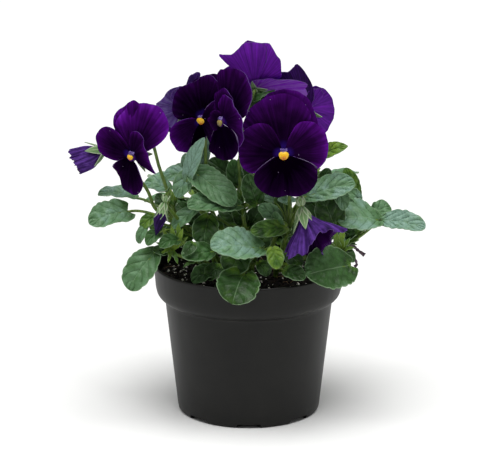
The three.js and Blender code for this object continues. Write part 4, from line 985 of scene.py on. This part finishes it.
# Each petal from the front: axis, reach and half spread, bluntness, layer, lift, waviness and lightness.
# A bloom's row may add fold: the side that turns back past its middle line, and by what angle.
# light holds painted light and shade besides colour: the right petal is set lighter than the left, as
# painted light
openPetals = {
    "upperRight": dict(axis=72, reach=39, spread=60, blunt=0.3, layer=-2.6, lift=-5, wave=0.5, light=0.2),
    "upperLeft": dict(axis=104, reach=38, spread=60, blunt=0.3, layer=-1.3, lift=-2, wave=0.5, light=0.2),
    "left": dict(axis=170, reach=29, spread=62, blunt=0.26, layer=0, lift=3, wave=0.5, light=0.14),
    "right": dict(axis=10, reach=29, spread=62, blunt=0.26, layer=0, lift=3, wave=0.5, light=0.3),
    "lower": dict(axis=-90, reach=26, spread=74, blunt=0.2, layer=1.2, lift=2, wave=0.4, notch=0.06,
                  light=-0.04),
}
# Bells and buds. radii: the bell's swelling from throat to edge. margin: turn round the bell in degrees,
# radius and depth in mm of the petals' hanging edge.
# ring: turn, forward lean and share of the length of each sepal, where they aren't even.
bells = {
    "bloom_drooping": dict(
        shoot="shoot_front_right", start=0.3, stalk=[(22, -24, 115), (27, -30, 131), (31, -36, 144)],
        throat=(33, -45, 139.5), facing=(0.2, -0.15, -0.95), up=(0, -1, 0),
        size=1, sepals=58, light=0.15, calyx=1.45,
        radii=[3, 7, 12, 15.5],
        margin=[
            (5, 21, 19), (28, 17, 17), (52, 13.5, 16), (76, 13, 19.5), (98, 14, 26), (124, 15, 27),
            (152, 15.5, 27.5), (182, 15.5, 26), (212, 13, 26), (240, 12, 29), (268, 11, 34),
            (296, 11, 34), (322, 12.5, 29), (344, 16, 21)]),
    "bud_left": dict(
        shoot="shoot_left", start=0.75, stalk=[(-58, -4, 131), (-65, -4, 146), (-84, -2, 169)],
        throat=(-93.5, -2, 168), facing=(-0.93, -0.2, -0.25), up=(0, 0, 1),
        size=0.8, light=0.22, calyx=1.3,
        ring=[(95, 52, 1), (34, 50, 0.95), (316, 46, 0.76), (262, -10, 0.42), (190, 52, 1)],
        radii=[5.4, 8, 8.4, 8.6],
        margin=[
            (0, 7.5, 21), (40, 6.6, 22.4), (78, 6.4, 21.4), (115, 6.2, 20), (160, 7, 20), (205, 7.5, 20),
            (245, 8.2, 19), (272, 8.6, 19.2), (300, 8.3, 19), (330, 7.8, 20)]),
}
rolledBuds = {
    "bud_low": dict(
        shoot="shoot_left", start=0.62, stalk=[(-50, -24, 138), (-50, -32, 150)],
        throat=(-53, -34, 139.5), facing=(-0.26, -0.1, -0.96), up=(0, -1, 0),
        size=0.9, length=21, radius=4.2, sepals=70, light=-0.12, calyx=1.05),
}


# The flower's own frame: place(right, up, forward) in mm
def flowerFrame(flower):
    normal = Vector(flower["facing"]).normalized()
    upward = Vector(flower["up"])
    upward = (upward - upward.dot(normal) * normal).normalized()
    right = upward.cross(normal)
    throat = Vector(flower["throat"])
    return lambda x, y, z: throat + right * x + upward * y + normal * z


# Leaf blade, in mm where it isn't a share of the leaf
blade = dict(bow=2, curl=1.5, sway=1.6, fold=12, ruffle=0.05, tooth=0.09, toothStep=5.2, heart=0.17,
             heartPart=0.09, veinStep=6.5, veinLean=0.42, veinWidth=0.16, groove=0.95, crinkle=0.9,
             crinkleSize=3.6, rib=0.6, ribWidth=0.09, thickness=0.5, lean=0.97, blunt=2.5, roundness=0.5)
petiole = dict(radius=1.0, thinning=0.15, swollen=0.35, swollenPart=0.15, pull=0.35, levelling=0.25,
               knots=14)
# the midrib under the blade: place along it and radius
midrib = ((0.1, 0.72), (0.25, 0.55), (0.45, 0.4), (0.7, 0.25), (0.88, 0.12))


# A blunt oval, widest at its middle; a smaller lean brings its widest place nearer to the petiole
def leafWidth(t, lean, roundness):
    off = abs(2 * t ** lean - 1) if 0 < t < 1 else 1
    return (1 - off ** blade["blunt"]) ** roundness


# The leaf's sheet, and the strand of its petiole and midrib
def makeLeaf(sheet, path, leaf, number, draw):
    start, base, tip, width, face, toneAndShade, *shape = leaf
    lean, roundness = shape or (blade["lean"], blade["roundness"])
    base, tip, face = Vector(base), Vector(tip), Vector(face)
    along = tip - base
    length = along.length
    along.normalize()
    normal = (face - face.dot(along) * along).normalized()
    side = normal.cross(along)
    veins = max(3, round(length / blade["veinStep"]))
    teeth = max(3, round(length / blade["toothStep"]))
    phase, sway, curl = 6.3 * draw(), blade["sway"] * (draw() - 0.5), draw()
    foldRise, foldOut = math.sin(math.radians(blade["fold"])), math.cos(math.radians(blade["fold"]))

    def middle(t):
        bow = blade["bow"] * 4 * t * (1 - t) - blade["curl"] * curl * t ** 4
        return base + along * length * t + normal * bow + side * sway * math.sin(math.pi * t)

    # points crowd towards both ends, where the outline turns most
    def spread(x):
        return (x + (1 - math.cos(math.pi * x)) / 2) / 2

    def place(x, y):
        t, edge = spread(x), abs(y)
        notch = 1 - abs(math.sin(math.pi * (teeth * (t + 0.04 * math.sin(7 * t + phase)) + 0.5))) ** 0.6
        scallop = 1 - blade["tooth"] * notch * edge ** 5 * (1 - t ** 6) * min(1, 6 * t)
        half = width / 2 * leafWidth(t, lean, roundness) * scallop
        swell = half * foldRise * (0.35 * edge + 0.65 * edge ** 2)
        wavy = blade["ruffle"] * width * edge ** 3 * math.sin(9 * t + phase + (2 if y > 0 else 0))
        wavy *= math.sin(math.pi * t)
        line = veins * (t - blade["veinLean"] * edge ** 1.3)
        groove = math.exp(-((line - round(line)) / blade["veinWidth"]) ** 2)
        groove *= min(1, 3 * edge) * (1 - edge ** 4)
        size = min(1, half / 6)
        quilt = blade["groove"] * (0.4 - groove) * size
        spot = Vector((t * length, y * half, 9 * number)) / blade["crinkleSize"]
        crinkle = blade["crinkle"] * size * noise.noise(spot)
        rib = -blade["rib"] * math.exp(-(y / blade["ribWidth"]) ** 2) * min(1, half / 4)
        # the blade's shoulders reach back past the petiole
        heart = blade["heart"] * width * edge ** 1.5 * math.exp(-t / blade["heartPart"])
        height = swell + wavy + quilt + crinkle + rib
        return middle(t) - along * heart + side * half * y * foldOut + normal * height

    def veinLine(x, y):
        return 40 + veins * (spread(x) - blade["veinLean"] * abs(y) ** 1.3)

    sheet = shapedCopy(sheet, f"leaf{number}", place, {"tone": toneAndShade, "veinLine": veinLine})
    # the petiole rises with its stem, then levels out along the blade and runs on as the midrib
    root, rising = path(start), directionOf(path, start)
    pull = petiole["pull"] * (root - base).length
    arriving = pull * max(petiole["levelling"], (base - root).normalized().dot(along))
    knots = [root, root + rising * pull, base - along * arriving, base]
    strand = []
    for i in range(petiole["knots"] + 1):
        t = i / petiole["knots"]
        s = 1 - t
        centre = s ** 3 * knots[0] + 3 * s * s * t * knots[1] + 3 * s * t * t * knots[2] + t ** 3 * knots[3]
        foot = petiole["swollen"] * max(0, petiole["swollenPart"] - t) / petiole["swollenPart"]
        radius = petiole["radius"] - petiole["thinning"] * t + foot
        strand.append((centre, radius * min(1, 0.55 + width / 30)))
    for t, radius in midrib:
        strand.append((middle(t) - normal * (0.6 + 0.2 * radius), radius * min(1, 0.4 + width / 25)))
    return sheet, strand


# Ragged stipule: a narrow leafy lobe at a petiole's foot. width, arch and curl are shares of its length.
stipule = dict(width=0.34, arch=0.12, curl=0.1, cupping=0.25, teeth=2.5, toothDepth=0.45)


def makeStipule(root, heading, face, length, toneAndShade):
    along = heading.normalized()
    normal = (face - face.dot(along) * along).normalized()
    side = normal.cross(along)

    def place(x, y):
        toothed = abs(math.cos(stipule["teeth"] * math.pi * x)) ** 0.7
        lobes = 1 - stipule["toothDepth"] + stipule["toothDepth"] * toothed
        oval = math.sin(math.pi * x ** 0.7) ** 0.8 if 0 < x < 1 else 0
        half = stipule["width"] / 2 * length * oval * lobes
        arch = stipule["arch"] * length * math.sin(math.pi * x) - stipule["curl"] * length * x ** 3
        height = arch + stipule["cupping"] * half * abs(y)
        return root + along * length * x + side * half * y + normal * height

    return shapedCopy(stipuleSheet, "stipule", place, {"tone": toneAndShade, "veinLine": 40.5})


# Leaves that spread outwards to both sides of a shoot, as rows like those of the listed ones
def fannedLeaves(shoot, path, fan):
    draw = drawsFrom(shoot["seed"] + fan["leaves"] - 5)

    def between(span):
        return span[0] + (span[1] - span[0]) * draw()

    leaves = []
    for k in range(fan["leaves"]):
        start = 0.35 + 0.6 * k / (fan["leaves"] - 1)
        aside = fan["spread"] * (1 if k % 2 else -1) * (1 - k / fan["leaves"])
        turn = math.radians(shoot["outwards"] + aside + fan["scatter"] * (draw() - 0.5))
        outwards = Vector((math.cos(turn), math.sin(turn), 0))
        reach, length, drop, width = [between(fan[key]) for key in ("petiole", "blade", "drop", "width")]
        base = path(start) + outwards * reach + Vector((0, 0, fan["rise"]))
        tip = path(start) + outwards * (reach + length) + Vector((0, 0, fan["rise"] - drop))
        face = outwards * 0.2 + Vector((0, 0, 1))
        leaves.append((start, base, tip, width, face, fan["tone"] + 0.12 * (k % 5)))
    return leaves


# offset: the calyx's place behind the throat. lean: how far its sepals point forward, in degrees.
calyx = dict(offset=-5, sepals=5, lean=-6, bend=14, length=13, width=4.6, lobeWidth=1.5, lobeLength=4.2)


# Pointed sepals round the stalk's end, each with a short lobe behind it
def makeCalyx(flower, name):
    place = flowerFrame(flower)
    size = flower.get("calyx", min(1, flower["size"]))
    evenRing = [(90 + 72 * i, flower.get("sepals", calyx["lean"]), 1) for i in range(calyx["sepals"])]
    draw = drawsFrom(5 + len(name))
    parts = []
    for turn, lean, share in flower.get("ring", evenRing):
        c, s = math.cos(math.radians(turn)), math.sin(math.radians(turn))
        reach = calyx["length"] * size * share * (0.88 + 0.24 * draw())
        bend = math.radians(calyx["bend"] * (draw() - 0.5))

        def sepal(x, y):
            half = calyx["width"] * size / 2 * math.sin(math.pi * x ** 0.62) ** 0.9 if 0 < x < 1 else 0
            angle = math.radians(lean) + bend * x
            out = x * reach
            forward = calyx["offset"] + out * math.sin(angle)
            forward += 0.3 * half * y * y - 0.6 * math.sin(math.pi * x)
            outwards, beside = out * math.cos(angle), half * y
            return place(outwards * c - beside * s, outwards * s + beside * c, forward)

        def lobe(x, y):
            half = calyx["lobeWidth"] * size * math.sin(math.pi * (0.15 + 0.8 * x)) if x < 1 else 0
            out = 1.1 + 1.2 * math.sin(1.6 * x)
            forward = calyx["offset"] + 0.4 - calyx["lobeLength"] * size * x
            return place(out * c - half * y * s, out * s + half * y * c, forward)

        parts.append(shapedCopy(sepalSheet, "sepal", sepal, {}))
        parts.append(shapedCopy(sepalSheet, "sepalLobe", lobe, {}))
    return parts


stemForm = dict(radius=1.7, thinning=0.3, node=0.22, nodeLength=0.02, knots=48)


# A shoot's stem, thinner upwards and a little swollen where a leaf leaves it
def stemStrand(path, nodes):
    strand = []
    for i in range(stemForm["knots"] + 1):
        t = i / stemForm["knots"]
        near = [math.exp(-((t - node) / stemForm["nodeLength"]) ** 2) for node in nodes]
        radius = stemForm["radius"] * (1 - stemForm["thinning"] * t)
        strand.append((path(t), radius * (1 + min(0.3, stemForm["node"] * sum(near)))))
    return strand


# Two stipules, one to each side of a leaf's foot
def footStipules(path, leaf, draw):
    start, base = leaf[:2]
    root, rising = path(start), directionOf(path, start)
    outwards = Vector(base) - root
    aside = rising.cross(outwards).normalized()
    pair = []
    for sign in (-1, 1):
        heading = rising * (0.7 + 0.5 * draw()) + aside * sign * (0.8 + 0.5 * draw())
        heading += outwards.normalized() * 0.5
        face = Vector((0.2 * sign, -0.5, 0.9))
        pair.append(makeStipule(root, heading, face, 8 + 6 * draw(), 0.15 + 0.3 * draw()))
    return pair


# A tuft of young folded leaves ends the shoot
def tipTuft(path, draw):
    top, rising = path(1), directionOf(path, 0.98)
    tuft = []
    for k in range(4):
        turn = 2.4 * k + draw()
        heading = rising * 1.2 + Vector((math.cos(turn), math.sin(turn), 0.3)) * 0.7
        tuft.append(makeStipule(top, heading, Vector((0, -0.6, 0.8)), 8 + 5 * draw(), 0.1 + 0.2 * draw()))
    return tuft


stalkForm = dict(radius=1.2, waist=0.15, cup=0.5, cupFrom=37, knots=40, hook=5,
                 bracts=((0.52, 1), (0.55, -1)))


# A flower's stalk: it hooks over into the calyx, slimmer half way and wider at its end
def stalkPath(path, flower):
    place = flowerFrame(flower)
    behind = [place(0, 1, calyx["offset"] - stalkForm["hook"]), place(0, 0, calyx["offset"])]
    return smoothPath([path(flower["start"])] + flower["stalk"] + behind)


def stalkStrand(stalk):
    knots, cupFrom = stalkForm["knots"], stalkForm["cupFrom"]
    strand = []
    for i in range(knots + 1):
        cup = stalkForm["cup"] * max(0, i - cupFrom) / (knots - cupFrom)
        waist = stalkForm["waist"] * math.sin(math.pi * i / knots)
        strand.append((stalk(i / knots), stalkForm["radius"] - waist + cup))
    return strand


# Two small bracts part way up the stalk
def stalkBracts(stalk):
    pair = []
    for t, sign in stalkForm["bracts"]:
        rising = directionOf(stalk, t)
        aside = rising.cross(Vector((0.3, -1, 0.1))).normalized()
        pair.append(makeStipule(stalk(t), rising + aside * sign * 0.5, Vector((0, -1, 0.2)), 4.5, 0.5))
    return pair


def makeShoot(name, shoot, flowers):
    x, y = shoot["foot"]
    path = smoothPath([(x, y, 79.8), (x, y, 91.5)] + shoot["stem"])
    leaves = shoot.get("leaves") or fannedLeaves(shoot, path, fan)
    inner = innerLeaves.get(name) or fannedLeaves(shoot, path, innerFan)
    draw = drawsFrom(101 + 17 * len(name) + abs(x))
    strands = [stemStrand(path, [leaf[0] for leaf in leaves])]
    thin, sepals = [], []
    for number, leaf in enumerate(inner):
        sheet, strand = makeLeaf(smallLeafSheet, path, leaf, 50 + number, draw)
        thin.append(sheet)
        strands.append(strand)
    for number, leaf in enumerate(leaves):
        sheet, strand = makeLeaf(leafSheet, path, leaf, number, draw)
        thin.append(sheet)
        strands.append(strand)
        thin += footStipules(path, leaf, draw)
    for root, tip, toneAndShade in tufts.get(name, []):
        heading = Vector(tip) - Vector(root)
        thin.append(makeStipule(Vector(root), heading, Vector((0, -0.9, 0.4)), heading.length, toneAndShade))
    thin += tipTuft(path, draw)
    for flowerName, flower in flowers:
        stalk = stalkPath(path, flower)
        strands.append(stalkStrand(stalk))
        sepals += makeCalyx(flower, flowerName)
        thin += stalkBracts(stalk)
    blades = joinPieces(thin, "blades")
    applyModifier(blades, "SOLIDIFY", thickness=blade["thickness"] * mm, offset=0, material_offset=1)
    parts = [blades]
    if sepals:
        calyxes = joinPieces(sepals, "sepals")
        applyModifier(calyxes, "SOLIDIFY", thickness=blade["thickness"] * mm, offset=0)
        parts.append(calyxes)
    parts.append(tubes("stems", strands, stemGreen))
    green = joinPieces(parts, "green_" + name)
    finishPiece(green, "foliage", name)


flowersOf = {}
for name, flower in {**blooms, **bells, **rolledBuds}.items():
    flowersOf.setdefault(flower["shoot"], []).append((name, flower))
for name, shoot in shoots.items():
    print("shoot", name)
    makeShoot(name, shoot, flowersOf.get(name, []))


# A withered flower stalk at the right, bent over, with its shrivelled end
twig = [(58, -5, 106), (63, -6, 109), (66, -5, 107.5), (69, -4, 104.5), (73, -4, 101.5)]
sideTwig = [(61, -9, 103), (64, -10, 103), (67, -9, 100), (68, -8, 96), (66.5, -8, 95)]
twigKnots = 24
twigStrands = []
for course, radius in ((twig, 0.95), (sideTwig, 0.8)):
    path = smoothPath(course)
    strand = []
    for i in range(twigKnots + 1):
        shrivelled = 1 + 0.25 * math.sin(1.9 * i) + (0.35 if i > twigKnots - 3 else 0)
        strand.append((path(i / twigKnots), radius * shrivelled))
    twigStrands.append(strand)
twigs = tubes("witheredStalks", twigStrands, withered)
finishPiece(twigs, "foliage")


print("flowers")
ruffle = dict(fine=0.45, fineWaves=15, pleats=0.1, pleatWaves=44, ragged=0.012, droop=0.6, thickness=0.45,
              start=0.03)
throatBack = -3.8


def makePetal(place, size, petal, lightness, number):
    axis, reach, spread = petal["axis"], petal["reach"], petal["spread"]
    layer, lift, wave = petal["layer"], petal["lift"], petal["wave"]
    notch, (foldSide, foldTurn) = petal.get("notch", 0), petal.get("fold", (0, 0))
    c, s = math.cos(math.radians(axis)), math.sin(math.radians(axis))
    phase = 1.7 * number + axis
    margin = smoothPath([(angle, far, 0) for angle, far in petal["rays"]]) if "rays" in petal else None

    def outline(across):
        ragged = ruffle["ragged"] * (math.sin(9 * across + phase) + 0.6 * math.sin(23 * across + 2 * phase))
        if margin:
            angle, far, _ = margin((across + 1) / 2)
            return math.radians(angle - axis), far * (1 + 0.7 * ragged)
        roundness = max(0, math.cos(math.pi / 2 * across)) ** petal["blunt"]
        dent = notch * math.exp(-((across / 0.16) ** 2))
        share = 0.1 + 0.9 * roundness - dent + ragged * roundness
        return math.radians(spread * across), size * reach * share

    def petalPlace(x, y):
        part = ruffle["start"] + (1 - ruffle["start"]) * x
        angle, far = outline(y)
        distance = part * far
        sideways, outwards = distance * math.sin(angle), distance * math.cos(angle)
        # past its fold line the petal turns back
        turned = math.radians(foldTurn) * min(1, max(0, foldSide * sideways) / 3)
        raised = math.radians(lift)
        height = outwards * math.sin(raised) + foldSide * sideways * math.sin(turned) + layer
        height += wave * part ** 2 * math.sin(9 * angle + axis)
        height += ruffle["fine"] * part ** 7 * math.sin(ruffle["fineWaves"] * angle + phase)
        height += ruffle["pleats"] * part * math.sin(ruffle["pleatWaves"] * y + phase)
        height -= ruffle["droop"] * part ** 3
        forth, beside = outwards * math.cos(raised), sideways * math.cos(turned)
        return place(forth * c - beside * s, forth * s + beside * c, height)

    # the lower petal's straight sides are whitest near the throat, a painted highlight where their edges
    # catch the light
    def pale(x, y):
        if axis < 0:
            return 1.0 if x < 0.6 else 0.45
        return 0.3

    return shapedCopy(petalSheet, "petal", petalPlace, {"light": petal["light"] + lightness, "pale": pale})


beard = dict(hairs=46, radius=0.2, thinning=0.8, foot=1.3)


# Beard: short tapering hairs in two tufts beside and above the eye
def makeBeard(place, size, seed):
    draw = drawsFrom(seed)
    strands = []
    for sign in (-1, 1):
        for _ in range(beard["hairs"]):
            across, up = sign * (0.1 + 2.1 * draw()) * size, (1.5 + 2.3 * draw()) * size
            lean = Vector((-sign * (0.3 + 0.6 * draw()), -0.5 + 0.8 * draw(), 1.0))
            length = (1.0 + 0.9 * draw()) * size
            foot = Vector((across, up, beard["foot"]))
            hair = []
            for t in (0, 0.4, 0.75, 1):
                radius = beard["radius"] * (1 - beard["thinning"] * t)
                hair.append((place(*(foot + lean * length * t)), radius))
            strands.append(hair)
    return tubes("beard", strands, beardViolet, 0)


# The throat: a short tube behind the petals that runs back into the spur, as (height, radius)
throatRings = ((-6.5, 1.0), (-5.5, 1.7), (throatBack, 2.3), (-1, 2.8), (0.8, 3.1), (1.7, 3.0))


def makeBloom(name, flower, number):
    place, size = flowerFrame(flower), flower["size"]
    petals = []
    for k, (side, petal) in enumerate(openPetals.items()):
        own = {**petal, **flower.get(side, {})}
        petals.append(makePetal(place, size, own, flower.get("lighter", 0), number + k))
    sheet = joinPieces(petals, "petals")
    applyModifier(sheet, "SOLIDIFY", thickness=ruffle["thickness"] * mm, offset=0, material_offset=1,
                  material_offset_rim=2)
    if flower.get("faded"):
        sheet.data.materials[1] = fading
    throat = tubes("throat", [[(place(0, 0, z), radius) for z, radius in throatRings]], reverse, 4)
    hairs = makeBeard(place, size, 31 + number)
    whole = joinPieces([sheet, throat, hairs], "petals_" + name)
    finishPiece(whole, "petals", name + "_petals")


clearSelection()
bpy.ops.mesh.primitive_uv_sphere_add(segments=32, ring_count=16, radius=1)
eyeBall = bpy.context.object
eyeBall.data.materials.append(yellow)
eyeForm = dict(wide=3.1, high=2.7, lobing=0.05, lobes=3, low=0.3, middle=2.1, dome=1.4, back=0.4)


# The eye: a three-lobed cushion in front of the throat, seen flat in its UV
def makeEye(name, flower):
    place, scale = flowerFrame(flower), flower.get("eye", 1)
    eye = eyeBall.copy()
    eye.data = eyeBall.data.copy()
    eye.name = eye.data.name = "eye_" + name
    # an eye in shade takes the darker copy, painted shade
    if flower.get("shadedEye"):
        eye.data.materials[0] = shadedYellow
    bpy.context.collection.objects.link(eye)
    flat = [v.co.copy() for v in eye.data.vertices]
    uv = eye.data.uv_layers["UVMap"].data
    for corner in eye.data.loops:
        spot = flat[corner.vertex_index]
        uv[corner.index].uv = (0.5 + spot.x / 2, 0.5 + spot.y / 2)
    for vertex, spot in zip(eye.data.vertices, flat):
        turn = math.atan2(spot.y, spot.x)
        lobed = 1 + eyeForm["lobing"] * math.cos(eyeForm["lobes"] * (turn - math.pi / 2) + math.pi)
        depth = eyeForm["dome"] if spot.z > 0 else eyeForm["back"]
        across = eyeForm["wide"] * scale * lobed * spot.x
        up = eyeForm["high"] * scale * lobed * spot.y - eyeForm["low"]
        vertex.co = place(across, up, eyeForm["middle"] + depth * spot.z) * mm
    finishPiece(eye, "eye", name + "_eye")


for number, (name, flower) in enumerate(blooms.items()):
    makeBloom(name, flower, number)
    makeEye(name, flower)


bellForm = dict(fold=0.14, folds=5, crease=0.085, creases=13, fineCrease=0.045, fineCreases=29,
                thickness=0.5, across=110, along=26)


# A hanging bell of petals grown into one pleated sheet, with its own uneven edge
def makeBell(name, bell, number):
    place, phase = flowerFrame(bell), 2.1 * number
    swell = smoothPath([(0, 0, 0)] + [(radius / bell["radii"][-1], 0, 0) for radius in bell["radii"]])
    margin = bell["margin"]
    before = [(turn - 360, radius, depth) for turn, radius, depth in margin[-2:]]
    after = [(turn + 360, radius, depth) for turn, radius, depth in margin[:3]]
    hem = smoothPath(before + margin + after)

    # the hem as (radius, depth) at any turn, by halving into the path, whose turns only grow
    def hemAt(degrees):
        low, high = 0.0, 1.0
        for _ in range(18):
            half = (low + high) / 2
            low, high = (half, high) if hem(half).x < degrees else (low, half)
        return hem(low).y, hem(low).z

    hems = {}

    def bellPlace(x, y):
        turn = math.pi * (y + 1)
        if y not in hems:
            hems[y] = hemAt(math.degrees(turn))
        wide, deep = hems[y]
        creased = bellForm["crease"] * math.sin(bellForm["creases"] * turn + phase + 2 * x)
        creased += bellForm["fineCrease"] * math.sin(bellForm["fineCreases"] * turn + 3 * x)
        folded = bellForm["fold"] * x * math.cos(bellForm["folds"] * turn + 0.6)
        out = max(0.4, wide * swell(x).x * (1 + x * creased + folded))
        lobed = 0.9 * math.sin(11 * turn + phase) + 0.4 * math.sin(23 * turn)
        along = throatBack + deep * x ** 0.9 + x ** 4 * lobed
        return place(out * math.cos(turn), out * math.sin(turn), along)

    bellSheet = unitSheet("bellSheet", bellForm["along"], bellForm["across"], (0,),
                          [velvet, fading, petalEdgeAndHighlight])
    sheet = shapedCopy(bellSheet, "petals_" + name, bellPlace, {"light": bell["light"], "pale": 0.4})
    bpy.data.objects.remove(bellSheet)
    mergeDoubles(sheet, 0.00003)
    applyModifier(sheet, "SOLIDIFY", thickness=bellForm["thickness"] * mm, offset=0, material_offset=1,
                  material_offset_rim=2)
    whole = joinPieces([sheet], "petals_" + name)
    finishPiece(whole, "petals", name + "_petals")


# A closed bud: petals rolled into a spindle with five ridges that wind round it
def makeRolledBud(name, bud):
    place, winding = flowerFrame(bud), 1.25
    profile = smoothPath([(r, 0, 0) for r in (0.05, 0.25, 0.85, 1, 0.75, 0.42, 0.05)])
    budSheet = unitSheet("budSheet", 30, 40, (), [fading])

    def budPlace(x, y):
        turn = math.pi * (y + 1) + winding * x
        ridge = 0.9 + 0.1 * math.cos(5 * (turn - winding * x))
        radius = bud["radius"] * max(0.02, profile(x).x) * ridge
        return place(radius * math.cos(turn), radius * math.sin(turn), throatBack + bud["length"] * x)

    sheet = shapedCopy(budSheet, "petals_" + name, budPlace, {"light": bud["light"], "pale": 0.4})
    bpy.data.objects.remove(budSheet)
    mergeDoubles(sheet, 0.0001, recalculate=True)
    finishPiece(sheet, "petals", name + "_petals")


for number, (name, bell) in enumerate(bells.items()):
    makeBell(name, bell, number)
for name, bud in rolledBuds.items():
    makeRolledBud(name, bud)

for spare in (leafSheet, smallLeafSheet, stipuleSheet, sepalSheet, petalSheet, eyeBall):
    bpy.data.objects.remove(spare)
